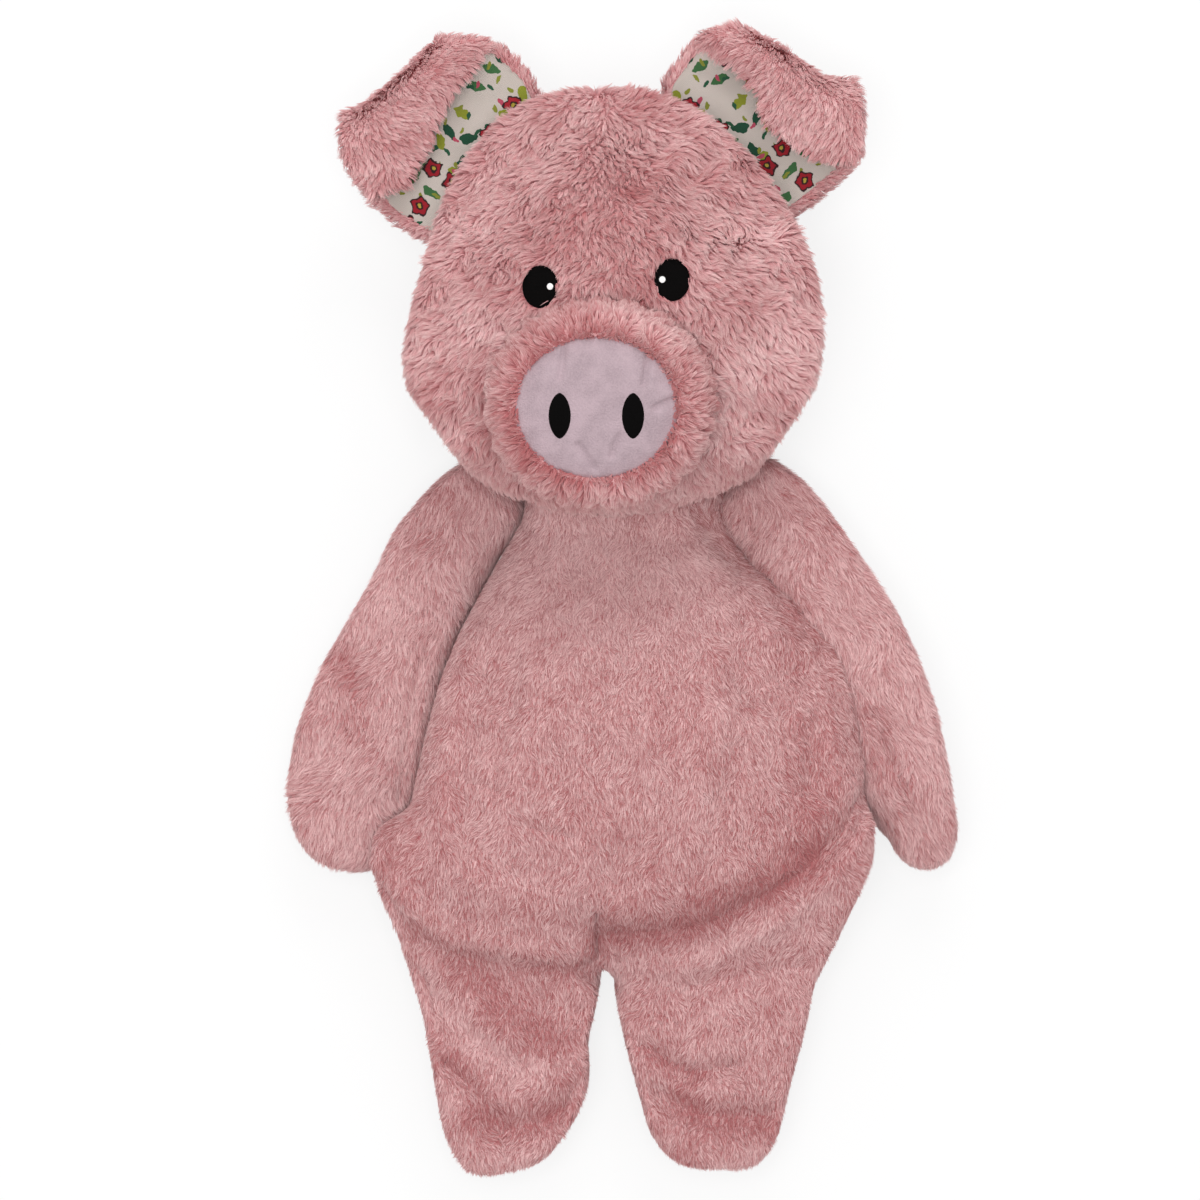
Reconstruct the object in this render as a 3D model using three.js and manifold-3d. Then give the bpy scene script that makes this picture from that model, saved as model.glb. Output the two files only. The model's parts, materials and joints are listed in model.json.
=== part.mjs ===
// Plush pig lying on its back, built as it is sewn: fur panels in pairs round a soft fill,
// a stuffed snout, embroidered eyes and nostrils, folded ears with a cotton lining, and
// limbs that turn at their seams. Millimetres. +Z goes from back to belly, +Y from the feet
// to the head, +X to the pig's left. The origin is on the flat of the back.
import * as THREE from "three";
import { mergeVertices } from "three/addons/utils/BufferGeometryUtils.js";
import Module from "manifold-3d";

const wasm = await Module();
wasm.setup();

// Cloth and sewing
const seamGap = 0.3; // between pieces that touch
const swingGap = 0.5; // between pieces that turn past each other
const plushWall = 4; // fur cloth with its pile
const fillGap = 0.3; // between a cover and what fills it
const restSink = 0.5; // how far a round back is pressed flat by its weight
const overrun = 40; // how far a cutter runs past what it cuts
const weldReach = 1e-3; // points nearer than this are one

// Torso
const torsoLength = 140; // from the hem at the legs to the middle of the neck
const torsoHalfWidth = 80;
const torsoDepth = 60;
const hemY = -56; // lower end of the torso
const torsoSplitZ = 20; // height of the side seam

// Head
const headLength = 139;
const headHalfWidth = 69;
const headDepth = 82;
const chinDrop = 6.6; // how far the chin hangs over the neck
const neckRadius = 20; // of the round root that the head nods on
const headNod = [-20, 30]; // degrees back and forward

// Snout
const muzzleHalfWidth = 36.5;
const muzzleHalfHeight = 32.5;
const muzzleReach = 24; // from the face to the snout disc
const muzzleX = -3.7;
const muzzleRise = 33.6; // from the chin to the middle of the snout's base
const muzzleTilt = 8; // degrees that the snout looks down
const crownShare = 0.04; // how far the disc bulges, as a share of the reach
const puffShare = 0.3; // where the snout is widest, as a share of the reach
const discHalfWidth = 25.6;
const discWall = 2.5; // velour and its backing
const nostrilHalfWidth = 3.9;
const nostrilHalfHeight = 7.8;
const nostrilSpacing = 23.4;
const nostrilDrop = 2.4; // below the middle of the disc

// Eyes
const eyeHalfWidth = 6.2;
const eyeHalfHeight = 7.5;
const eyeSpacing = 42.7;
const eyeMiddleX = -2;
const eyeRise = 71.6; // above the chin
const eyeSlant = 1.1; // how far the left eye sits above the middle of both
const threadWall = 1.2; // satin stitches
const glintRadius = 1.5;
const glintInset = 3.2; // from the middle of the eye towards the nose
const glintWall = 0.8;

// Arms
const armLength = 119.5;
const armWidth = 41;
const shoulderDrop = 8; // below the middle of the neck
const shoulderRadius = 19;

// Legs
const legLength = 85.5;
const legDepth = 34;
const hipRadius = 15.5;
const hipDrop = 2; // below the hem
const hipFold = 70; // degrees that a leg folds up over the belly

// Ears
const earReach = 33; // from the seam to the fold
const earFoldRadius = 7;
const earFoldLean = 18; // degrees between the fold and the seam
const earFurWall = 3;
const earLiningWall = 1;
const earFlapEdge = 19; // from the seam to the free edge of the folded tip
const earHem = 3; // fur that shows round the lining
const earSwing = [-25, 45]; // degrees back and forward

// Tail
const tailRadius = 2.6; // at its root
const tailCurlRadius = 6.5;
const tailX = 2;
const tailRise = 26; // of its root above the hem
const tailTurns = 0.85;
const tailTipShare = 0.55; // how thin the tail ends, as a share of its root
const tailWindShare = 0.7; // how far the curl has wound in at its tip

// Outlines. A row of a cover gives its place along the piece, its two sides, its front and its
// back, as shares of the sizes of that piece.
const torsoShares = [
  [0, -0.89, 0.96, 0.73, 0.15],
  [0.07, -0.95, 1.06, 0.82, 0.12],
  [0.21, -0.88, 1.08, 0.96, 0.03],
  [0.35, -0.815, 1.03, 1, 0],
  [0.5, -0.745, 1.01, 0.97, 0],
  [0.6, -0.685, 0.945, 0.91, 0],
  [0.69, -0.61, 0.82, 0.83, 0],
  [0.78, -0.53, 0.655, 0.72, 0],
  [0.87, -0.445, 0.51, 0.6, 0],
  [1, -0.375, 0.435, 0.46, 0],
];
const headShares = [
  [0, -0.92, 0.9, 1, 0],
  [0.16, -0.92, 0.94, 0.98, 0],
  [0.3, -1, 0.99, 1, 0],
  [0.5, -0.92, 0.97, 1, 0],
  [0.7, -0.84, 0.85, 0.95, 0.01],
  [0.85, -0.78, 0.76, 0.89, 0.05],
  [1, -0.84, 0.8, 0.84, 0.08],
];
// An arm's row: along, inner side, outer side and height, in arm widths from the torso's side.
const armShares = {
  right: [
    [0, -0.06, 0.86, 0.6],
    [0.16, -0.08, 0.84, 0.61],
    [0.3, -0.1, 0.9, 0.62],
    [0.5, -0.12, 0.97, 0.63],
    [0.7, -0.1, 1, 0.64],
    [0.85, -0.06, 0.98, 0.64],
    [1, 0, 0.94, 0.62],
  ],
  left: [
    [0, 0.02, 0.9, 0.66],
    [0.16, -0.1, 0.78, 0.72],
    [0.3, -0.22, 0.6, 0.8],
    [0.45, -0.2, 0.53, 0.86],
    [0.6, -0.14, 0.62, 0.88],
    [0.8, -0.06, 0.66, 0.84],
    [0.9, 0.1, 0.72, 0.8],
    [1, 0.26, 0.72, 0.72],
  ],
};
// A leg's row: along, outer side, inner side and height, the sides in half widths of the torso.
const legShares = {
  right: [
    [0, 0.905, 0.05, 0.9],
    [0.2, 0.84, 0.045, 0.94],
    [0.33, 0.805, 0.1, 0.96],
    [0.5, 0.776, 0.11, 0.98],
    [0.65, 0.748, 0.125, 1],
    [0.8, 0.714, 0.165, 1],
    [1, 0.69, 0.2, 0.98],
  ],
  left: [
    [0, 0.95, 0.01, 0.9],
    [0.2, 0.835, -0.012, 0.94],
    [0.33, 0.81, 0.034, 0.96],
    [0.5, 0.77, 0.07, 0.98],
    [0.65, 0.72, 0.1, 1],
    [0.8, 0.695, 0.15, 1],
    [1, 0.69, 0.2, 0.98],
  ],
};
// The ends of an ear's seam, as shares of the head's half width and length.
const earSeamShares = {
  right: [
    [-0.42, 0.985],
    [-0.8275, 0.674],
  ],
  left: [
    [0.303, 0.973],
    [0.833, 0.734],
  ],
};
// The outline of an ear seen from the front, in seam lengths along it and ear reaches out.
const earOutlineShares = [
  [0.04, -0.28],
  [-0.16, 0.45],
  [-0.1, 1.05],
  [0.4, 1.6],
  [0.88, 1.62],
  [1.06, 1.25],
  [1.14, 0.73],
  [1.09, 0.28],
  [0.98, -0.28],
];
const seatShares = { torso: 0.42, head: 0.48, limb: 0.5 }; // where a cover is widest, in depths

// How a cover closes at its ends, in shares of its length, and how square its sections are.
const closingShares = {
  torso: { power: 2 },
  head: { start: 0.3, end: 0.3, power: 2 },
  arm: { end: 0.25, power: 2.4 },
  leg: { end: 0.22, power: 3 },
};
const squareness = { torso: 2.4, head: 2.3, arm: 2.4, leg: 2.6, root: 2.9 };

// Rings along a cover and corners round it, on its outside and on its inside.
const facetCounts = {
  torso: { outside: [11, 24], inside: [6, 14] },
  head: { outside: [14, 24], inside: [8, 14] },
  arm: { outside: [9, 14], inside: [6, 10] },
  leg: { outside: [9, 16], inside: [6, 10] },
  root: { outside: [6, 16], inside: [6, 12] },
};
const ovalCounts = { snout: 24, nostril: 14, eye: 16, glint: 10 };
const domeCount = 4;
const earBendCount = 5;
const earRimCount = 18;
const tailCount = 18;
const tailCornerCount = 8;

const sides = { right: -1, left: 1 };
const headSplitZ = headDepth * seatShares.head;
const xAxis = new THREE.Vector3(1, 0, 0);
const yAxis = new THREE.Vector3(0, 1, 0);
const zAxis = new THREE.Vector3(0, 0, 1);
const neckY = hemY + torsoLength;
const chinY = neckY - chinDrop;
const hipY = hemY - hipDrop;
const hipZ = hipRadius - restSink;
const shoulderY = neckY - shoulderDrop;

function solidOf(geometry) {
  const bare = geometry.clone();
  bare.deleteAttribute("normal");
  bare.deleteAttribute("uv");
  const merged = mergeVertices(bare, weldReach);
  const vertProperties = new Float32Array(merged.attributes.position.array);
  const triVerts = new Uint32Array(merged.index.array);
  return new wasm.Manifold(new wasm.Mesh({ numProp: 3, vertProperties, triVerts }));
}

function geometryOf(solid) {
  const { vertProperties, triVerts } = solid.getMesh();
  const geometry = new THREE.BufferGeometry();
  geometry.setAttribute("position", new THREE.BufferAttribute(vertProperties, 3));
  geometry.setIndex(new THREE.BufferAttribute(triVerts, 1));
  return geometry;
}

function box(low, high) {
  const size = new THREE.Vector3().subVectors(high, low);
  const middle = new THREE.Vector3().addVectors(low, high).multiplyScalar(0.5);
  return new THREE.BoxGeometry(size.x, size.y, size.z).translate(middle.x, middle.y, middle.z);
}

// Everything above or below a height, over the whole toy.
function layer(lowZ, highZ) {
  const reach = torsoLength + headLength + legLength + overrun;
  const low = new THREE.Vector3(-reach, -reach, lowZ);
  const high = new THREE.Vector3(reach, reach, highZ);
  return solidOf(box(low, high));
}

const above = (z) => layer(z, z + headDepth + muzzleReach + overrun);
const below = (z) => layer(z - headDepth - overrun, z);

// A power of a sine or cosine that keeps its sign, which makes an ellipse squarer.
const squared = (value, power) => Math.sign(value) * Math.abs(value) ** (2 / power);

// How full a cover is at a place along it, where it closes over a stretch at its ends.
function fullness(along, closing) {
  const fromStart = closing.start ? Math.min(along / closing.start, 1) : 1;
  const fromEnd = closing.end ? Math.min((1 - along) / closing.end, 1) : 1;
  const rise = (part) => (1 - (1 - part) ** closing.power) ** (1 / closing.power);
  return rise(fromStart) * rise(fromEnd);
}

// Rows of numbers joined by a smooth curve through them. The first of a row is its place.
function smoothRows(rows) {
  const places = rows.map((row) => row[0]);
  const values = rows.flatMap((row) => row.slice(1));
  const curve = new THREE.CubicInterpolant(places, values, rows[0].length - 1);
  return (place) => Array.from(curve.evaluate(place));
}

// Rings and corners for a piece: its inside is drawn more simply than its outside.
const countsOf = (piece, inset) => facetCounts[piece][inset > 0 ? "inside" : "outside"];

// Where the rings of a cover stand, closer together towards an end that closes.
function ringPlace(even, closing) {
  if (closing.start && closing.end) return (1 - Math.cos(Math.PI * even)) / 2;
  return closing.end ? Math.sin((Math.PI / 2) * even) : even;
}

// The points of a ring, from a section's sides, front, back and seat.
function ringPoints(section, y, full, corners, power) {
  const { left, right, front, back, seat } = section;
  const points = [];
  for (let j = 0; j < corners; j += 1) {
    const turn = (2 * Math.PI * j) / corners;
    const rise = Math.sin(turn) > 0 ? front - seat : seat - back;
    const across = ((right - left) / 2) * full * squared(Math.cos(turn), power);
    const up = rise * full * squared(Math.sin(turn), power);
    points.push((left + right) / 2 + across, y, seat + up);
  }
  return points;
}

// The faces of rings in a row, from a first pole to a last one.
function ringFaces(rings, corners, turnedOver) {
  const faces = [];
  const last = rings * corners + 1;
  const add = (a, b, c) => faces.push(...(turnedOver ? [b, a, c] : [a, b, c]));
  for (let j = 0; j < corners; j += 1) {
    const next = (j + 1) % corners;
    add(0, 1 + j, 1 + next);
    for (let row = 1; row < rings; row += 1) {
      const here = 1 + (row - 1) * corners;
      const there = here + corners;
      add(here + j, there + j, there + next);
      add(here + j, there + next, here + next);
    }
    add(last, last - corners + next, last - corners + j);
  }
  return faces;
}

function surface(points, faces) {
  const geometry = new THREE.BufferGeometry();
  geometry.setAttribute("position", new THREE.Float32BufferAttribute(points, 3));
  geometry.setIndex(faces);
  return geometry;
}

// A closed cover through rings that stand across Y. sectionAt gives a ring's sides, front,
// back and seat for a place from 0 to 1.
function loft(piece, inset, sectionAt, startY, endY) {
  const closing = closingShares[piece];
  const [steps, corners] = countsOf(piece, inset);
  const pole = (section, y) => [(section.left + section.right) / 2, y, section.seat];
  const points = pole(sectionAt(0), startY);
  let rings = 0;
  for (let i = closing.start ? 1 : 0; i <= (closing.end ? steps - 1 : steps); i += 1) {
    const along = ringPlace(i / steps, closing);
    const y = startY + (endY - startY) * along;
    const full = fullness(along, closing);
    points.push(...ringPoints(sectionAt(along), y, full, corners, squareness[piece]));
    rings += 1;
  }
  points.push(...pole(sectionAt(1), endY));
  return solidOf(surface(points, ringFaces(rings, corners, endY < startY)));
}

// A round root about the Y axis of a lathe, with a squarer rim. Room for a root clears its
// corners as it turns.
function spool(radius, halfWidth, grown) {
  const [steps, segments] = countsOf("root", -grown);
  const clear = grown > 0 ? 1 / Math.cos(Math.PI / segments) : 1;
  const profile = [];
  for (let i = 0; i <= steps; i += 1) {
    const turn = Math.PI * (i / steps - 1 / 2);
    const round = i === 0 || i === steps ? 0 : squared(Math.cos(turn), squareness.root);
    const along = squared(Math.sin(turn), squareness.root);
    profile.push(new THREE.Vector2((radius + grown) * clear * round, (halfWidth + grown) * along));
  }
  return new THREE.LatheGeometry(profile, segments);
}

const torsoRow = smoothRows(torsoShares);
const headRow = smoothRows(headShares);
const armRow = { right: smoothRows(armShares.right), left: smoothRows(armShares.left) };
const legRow = { right: smoothRows(legShares.right), left: smoothRows(legShares.left) };

// Where the side of the torso lies at a height along it.
function torsoSide(y, side) {
  const along = THREE.MathUtils.clamp((y - hemY) / torsoLength, 0, 1);
  const [left, right] = torsoRow(along);
  return (sides[side] < 0 ? left : right) * torsoHalfWidth;
}

const neck = neckPlace();
const shoulders = { right: shoulderPlace("right"), left: shoulderPlace("left") };
const hips = { right: hipPlace("right"), left: hipPlace("left") };

function neckPlace() {
  const [left, right] = torsoRow(1);
  const x = ((left + right) / 2) * torsoHalfWidth;
  const halfWidth = ((right - left) / 2) * torsoHalfWidth;
  return { centre: new THREE.Vector3(x, neckY, neckRadius - restSink), halfWidth };
}

function shoulderPlace(side) {
  const [inner, outer, height] = armRow[side](0);
  const x = torsoSide(shoulderY, side) + (sides[side] * armWidth * (inner + outer)) / 2;
  const halfDepth = (height * armWidth + restSink) / 2;
  return { centre: new THREE.Vector3(x, shoulderY, halfDepth - restSink), halfDepth };
}

function hipPlace(side) {
  const [outer, inner] = legRow[side](0);
  const x = (sides[side] * torsoHalfWidth * (outer + inner)) / 2;
  const halfWidth = (torsoHalfWidth * (outer - inner)) / 2;
  return { centre: new THREE.Vector3(x, hipY, hipZ), halfWidth };
}

// Round roots, grown by a margin. The neck and hips turn about X, the shoulders about Z.
function neckRoot(grown) {
  const root = spool(neckRadius, neck.halfWidth, grown).rotateZ(-Math.PI / 2);
  return solidOf(root.translate(...neck.centre.toArray()));
}

function shoulderRoot(side, grown) {
  const { centre, halfDepth } = shoulders[side];
  const root = spool(shoulderRadius, halfDepth, grown).rotateX(Math.PI / 2);
  return solidOf(root.translate(...centre.toArray()));
}

function hipRoot(side, grown) {
  const { centre, halfWidth } = hips[side];
  const root = spool(hipRadius, halfWidth, grown).rotateZ(-Math.PI / 2);
  return solidOf(root.translate(...centre.toArray()));
}

// A section between two sides, a front and a back, drawn in by an inset.
function section(sideA, sideB, front, back, inset, seatShare) {
  const bottom = back - restSink + inset;
  const top = front - inset;
  return {
    left: Math.min(sideA, sideB) + inset,
    right: Math.max(sideA, sideB) - inset,
    front: top,
    back: bottom,
    seat: bottom + (top - bottom) * seatShare,
  };
}

// Each cover as a solid, drawn in by an inset: 0 gives its outside, the cloth's wall gives
// its inside, and a negative inset gives the room that it needs.
function torsoBody(inset) {
  const sectionAt = (along) => {
    const [left, right, front, back] = torsoRow(along);
    const [sideA, sideB] = [left * torsoHalfWidth, right * torsoHalfWidth];
    return section(sideA, sideB, front * torsoDepth, back * torsoDepth, inset, seatShares.torso);
  };
  return loft("torso", inset, sectionAt, hemY + inset, neckY).add(neckRoot(-inset));
}

// The room that a leg takes when it is folded up over the belly.
function foldedLegs(grown) {
  const reach = legLength + overrun;
  const low = new THREE.Vector3(-2 * torsoHalfWidth, -reach, -hipRadius - grown);
  const high = new THREE.Vector3(2 * torsoHalfWidth, 0, legDepth - hipZ + grown);
  const slab = box(low, high).rotateX(-THREE.MathUtils.degToRad(hipFold));
  return solidOf(slab.translate(0, hipY, hipZ));
}

function torso(inset) {
  let form = torsoBody(inset);
  for (const side of Object.keys(sides)) {
    form = form.subtract(shoulderRoot(side, seamGap + inset));
    form = form.subtract(hipRoot(side, swingGap + inset));
  }
  form = form.subtract(foldedLegs(swingGap + inset)).subtract(tailHollow(seamGap + inset));
  return form.intersect(above(inset));
}

// The head's own form, before the neck is let into it.
function headBody(inset) {
  const sectionAt = (along) => {
    const [left, right, front, back] = headRow(along);
    const [sideA, sideB] = [left * headHalfWidth, right * headHalfWidth];
    return section(sideA, sideB, front * headDepth, back * headDepth, inset, seatShares.head);
  };
  return loft("head", inset, sectionAt, chinY + inset, chinY + headLength - inset);
}

// The neck nods in a round pocket, and the chin clears the chest at the end of a nod.
function head(inset) {
  const chest = turned(torsoBody(-seamGap - inset), neck.centre, xAxis, -headNod[1]);
  const form = headBody(inset).subtract(neckRoot(seamGap + inset)).subtract(chest);
  return form.intersect(above(inset));
}

function arm(side, inset) {
  const endY = shoulderY - armLength + inset;
  const sectionAt = (along) => {
    const [inner, outer, height] = armRow[side](along);
    const edge = torsoSide(shoulderY - armLength * along, side);
    const near = edge + sides[side] * inner * armWidth;
    const far = edge + sides[side] * outer * armWidth;
    return section(near, far, height * armWidth, 0, inset, seatShares.limb);
  };
  const tube = loft("arm", inset, sectionAt, shoulderY, endY);
  const fitted = tube.subtract(torsoBody(-swingGap - inset)).add(shoulderRoot(side, -inset));
  return fitted.intersect(above(inset));
}

function leg(side, inset) {
  const sectionAt = (along) => {
    const [outer, inner, height] = legRow[side](along);
    const near = sides[side] * inner * torsoHalfWidth;
    const far = sides[side] * outer * torsoHalfWidth;
    return section(near, far, height * legDepth, 0, inset, seatShares.limb);
  };
  const tube = loft("leg", inset, sectionAt, hipY, hipY - legLength + inset);
  return tube.add(hipRoot(side, -inset)).intersect(above(inset));
}

// A pair of panels and their fill, from a cover's own function. The panels meet at a seam.
function sewn(form, splitZ) {
  const cloth = form(0).subtract(form(plushWall));
  return {
    front: cloth.intersect(above(splitZ + seamGap / 2)),
    back: cloth.intersect(below(splitZ - seamGap / 2)),
    fill: form(plushWall + fillGap),
  };
}

const snout = { x: muzzleX, y: chinY + muzzleRise, z: headDepth - restSink };
const ovalShare = muzzleHalfHeight / muzzleHalfWidth;
const discHalfHeight = discHalfWidth * ovalShare;

// Puts a form of the snout, made about the Z axis, in its place on the face.
function onSnout(geometry) {
  geometry.rotateX(THREE.MathUtils.degToRad(muzzleTilt));
  return solidOf(geometry.translate(snout.x, snout.y, snout.z));
}

// The stuffed snout: an oval dome with a nearly flat front, on the face.
function muzzle(inset) {
  const narrowing = muzzleHalfWidth - discHalfWidth;
  const crown = muzzleReach * crownShare;
  const profile = [new THREE.Vector2(0, -headDepth / 2)];
  profile.push(new THREE.Vector2(muzzleHalfWidth - inset, -headDepth / 2));
  for (let i = domeCount; i > 0; i -= 1) {
    const turn = (Math.PI / 2) * (i / domeCount);
    const out = muzzleHalfWidth - narrowing * (1 - Math.sin(turn)) - inset;
    const rise = puffShare + (1 - puffShare) * Math.cos(turn);
    profile.push(new THREE.Vector2(out, (muzzleReach - crown) * rise - inset * Math.cos(turn)));
  }
  profile.push(new THREE.Vector2(discHalfWidth - inset, muzzleReach - crown - inset));
  profile.push(new THREE.Vector2(0, muzzleReach - inset));
  const dome = new THREE.LatheGeometry(profile, ovalCounts.snout).rotateX(Math.PI / 2);
  return onSnout(dome.scale(1, ovalShare, 1));
}

// An upright oval column, to cut patches out of a curved surface.
function column(x, y, halfWidth, halfHeight, segments) {
  const height = headDepth + muzzleReach + overrun;
  const post = new THREE.CylinderGeometry(1, 1, height, segments).rotateX(Math.PI / 2);
  return post.scale(halfWidth, halfHeight, 1).translate(x, y, height / 2);
}

function discColumn(grown) {
  const [halfWidth, halfHeight] = [discHalfWidth + grown, discHalfHeight + grown];
  return onSnout(column(0, 0, halfWidth, halfHeight, ovalCounts.snout));
}

function muzzleBand() {
  const skin = muzzle(0).subtract(muzzle(plushWall)).subtract(discColumn(seamGap));
  return skin.subtract(headBody(-seamGap)).intersect(above(headSplitZ));
}

function snoutDisc() {
  const plug = discColumn(0).intersect(muzzle(0));
  return plug.subtract(muzzle(discWall)).intersect(above(headDepth));
}

function muzzleFill() {
  const room = muzzle(plushWall + fillGap);
  return room.subtract(headBody(-seamGap)).intersect(above(headSplitZ));
}

function nostril(side) {
  const x = (sides[side] * nostrilSpacing) / 2;
  const post = column(x, -nostrilDrop, nostrilHalfWidth, nostrilHalfHeight, ovalCounts.nostril);
  const oval = onSnout(post);
  return oval.intersect(muzzle(-seamGap - threadWall)).subtract(muzzle(-seamGap));
}

// A patch of stitches of an oval column, lying on the face between two distances from it.
function faceStitches(post, near, far) {
  const oval = solidOf(post.translate(0, 0, headSplitZ));
  return oval.intersect(headBody(-far)).subtract(headBody(-near)).intersect(above(headSplitZ));
}

const eyeY = (side) => chinY + eyeRise + sides[side] * eyeSlant;

function eye(side) {
  const x = eyeMiddleX + (sides[side] * eyeSpacing) / 2;
  const post = column(x, eyeY(side), eyeHalfWidth, eyeHalfHeight, ovalCounts.eye);
  return faceStitches(post, seamGap, seamGap + threadWall);
}

function glint(side) {
  const x = eyeMiddleX + sides[side] * (eyeSpacing / 2 - glintInset);
  const spot = column(x, eyeY(side), glintRadius, glintRadius, ovalCounts.glint);
  const near = 2 * seamGap + threadWall;
  return faceStitches(spot, near, near + glintWall);
}

// One layer of a folded ear, between two depths from its outside, in the frame of its fold:
// X along the fold, Y out from the head and Z to the front.
function earLayer(outside, inside, width) {
  const bend = earReach - earFoldRadius;
  const top = 2 * earFoldRadius;
  const quarter = Math.PI / 2;
  const hook = new THREE.Shape();
  hook.moveTo(-earReach, outside);
  hook.lineTo(bend, outside);
  hook.absarc(bend, earFoldRadius, earFoldRadius - outside, -quarter, quarter, false);
  hook.lineTo(0, top - outside);
  hook.lineTo(0, top - inside);
  hook.lineTo(bend, top - inside);
  hook.absarc(bend, earFoldRadius, earFoldRadius - inside, quarter, -quarter, true);
  hook.lineTo(-earReach, inside);
  const settings = { depth: 3 * width, bevelEnabled: false, curveSegments: earBendCount };
  const sheet = new THREE.ExtrudeGeometry(hook, settings).translate(0, 0, -width);
  const turn = new THREE.Matrix4().makeBasis(yAxis, zAxis, xAxis);
  return solidOf(sheet.applyMatrix4(turn).rotateZ(THREE.MathUtils.degToRad(earFoldLean)));
}

// The outline of an ear as an upright prism, drawn in by a hem.
function earOutline(width, hem) {
  const middle = new THREE.Vector2(width / 2, earReach / 2);
  const drawn = earOutlineShares.map(([along, out]) => {
    const away = new THREE.Vector2(along * width, out * earReach).sub(middle);
    return away.setLength(away.length() - hem).add(middle);
  });
  const shape = new THREE.Shape(new THREE.SplineCurve(drawn).getPoints(earRimCount));
  const settings = { depth: 4 * earFoldRadius, bevelEnabled: false };
  const prism = new THREE.ExtrudeGeometry(shape, settings);
  return solidOf(prism.translate(0, 0, -earFoldRadius));
}

// The frame of an ear's seam, with X along it, Y out from the head and Z to the front. The
// ear turns about its seam, in the middle of its outer cloth.
function earFrame(side) {
  const [start, end] = earSeamShares[side].map(([across, along]) => {
    return new THREE.Vector3(across * headHalfWidth, chinY + along * headLength, 0);
  });
  const along = new THREE.Vector3().subVectors(end, start);
  const width = along.length();
  along.normalize();
  const out = new THREE.Vector3(Math.abs(along.y) * sides[side], Math.abs(along.x), 0);
  const seatZ = headDepth * seatShares.head;
  const matrix = new THREE.Matrix4().makeBasis(along, out, zAxis);
  matrix.setPosition(start.x, start.y, seatZ - earFurWall);
  const pivot = new THREE.Vector3(start.x, start.y, seatZ);
  return { matrix, width, pivot, axis: along.clone().multiplyScalar(sides[side]) };
}

// A geometry moved by a matrix, with its faces turned back where the matrix mirrors.
function placed(geometry, matrix) {
  const moved = geometry.toNonIndexed().applyMatrix4(matrix);
  if (matrix.determinant() > 0) return moved;
  const at = moved.attributes.position;
  const corner = (i) => new THREE.Vector3().fromBufferAttribute(at, i).toArray();
  for (let i = 0; i < at.count; i += 3) {
    const [first, second] = [corner(i), corner(i + 1)];
    at.setXYZ(i, ...second);
    at.setXYZ(i + 1, ...first);
  }
  return moved;
}

// A solid turned about a line through a point.
function turned(solid, pivot, axis, degrees) {
  const turn = new THREE.Matrix4().makeRotationAxis(axis, THREE.MathUtils.degToRad(degrees));
  const there = new THREE.Matrix4().makeTranslation(pivot.x, pivot.y, pivot.z);
  const back = new THREE.Matrix4().makeTranslation(-pivot.x, -pivot.y, -pivot.z);
  return solidOf(placed(geometryOf(solid), there.multiply(turn).multiply(back)));
}

function earLayers(side) {
  const { matrix, width, pivot, axis } = earFrame(side);
  const low = new THREE.Vector3(-width, -earReach, earFoldRadius);
  const high = new THREE.Vector3(2 * width, earFlapEdge, 4 * earFoldRadius);
  const flapCut = solidOf(box(low, high));
  const liningSeat = earFurWall + seamGap;
  const outer = earLayer(0, earFurWall, width).intersect(earOutline(width, 0));
  const sheet = earLayer(liningSeat, liningSeat + earLiningWall, width);
  const lining = sheet.intersect(earOutline(width, earHem));
  const swings = [earSwing[0], 0, earSwing[1] / 2, earSwing[1]];
  const rooms = swings.map((angle) => turned(headBody(-seamGap), pivot, axis, -angle));
  const fitted = [outer, lining].map((layer) => {
    const sewnOn = solidOf(placed(geometryOf(layer.subtract(flapCut)), matrix));
    return rooms.reduce((rest, room) => rest.subtract(room), sewnOn);
  });
  return { outer: fitted[0], lining: fitted[1], pivot };
}

// The tail lies flat under the back, curled to one side from its root.
const tailRoot = new THREE.Vector3(tailX, hemY + tailRise, tailRadius + seamGap);
const tailMiddle = new THREE.Vector3(tailX, tailRoot.y - tailCurlRadius, tailRoot.z);

function tail() {
  const points = [tailRoot.x + tailRadius, tailRoot.y, tailRoot.z];
  for (let i = 0; i <= tailCount; i += 1) {
    const share = i / tailCount;
    const turn = Math.PI / 2 - 2 * Math.PI * tailTurns * share;
    const out = tailCurlRadius * (1 - (1 - tailWindShare) * share);
    const thick = tailRadius * (1 - (1 - tailTipShare) * share);
    for (let j = 0; j < tailCornerCount; j += 1) {
      const round = (2 * Math.PI * j) / tailCornerCount;
      const reach = out + thick * Math.cos(round);
      points.push(
        tailMiddle.x + reach * Math.cos(turn),
        tailMiddle.y + reach * Math.sin(turn),
        tailRoot.z + thick * Math.sin(round),
      );
    }
  }
  const tipTurn = Math.PI / 2 - 2 * Math.PI * tailTurns;
  const tipOut = tailCurlRadius * tailWindShare;
  points.splice(0, 3, tailRoot.x, tailRoot.y, tailRoot.z);
  points.push(
    tailMiddle.x + tipOut * Math.cos(tipTurn),
    tailMiddle.y + tipOut * Math.sin(tipTurn),
    tailRoot.z,
  );
  const curl = solidOf(surface(points, ringFaces(tailCount + 1, tailCornerCount, true)));
  const knob = new THREE.SphereGeometry(tailRadius, tailCornerCount, tailCornerCount / 2);
  return curl.add(solidOf(knob.translate(...tailRoot.toArray())));
}

// The hollow that the tail presses into the back.
function tailHollow(grown) {
  const segments = ovalCounts.snout;
  const reach = (tailCurlRadius + tailRadius + grown) / Math.cos(Math.PI / segments);
  const top = tailRoot.z + tailRadius + grown;
  const hollow = new THREE.CylinderGeometry(reach, reach, 2 * top, segments);
  return solidOf(hollow.rotateX(Math.PI / 2).translate(tailMiddle.x, tailMiddle.y, 0));
}

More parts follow.
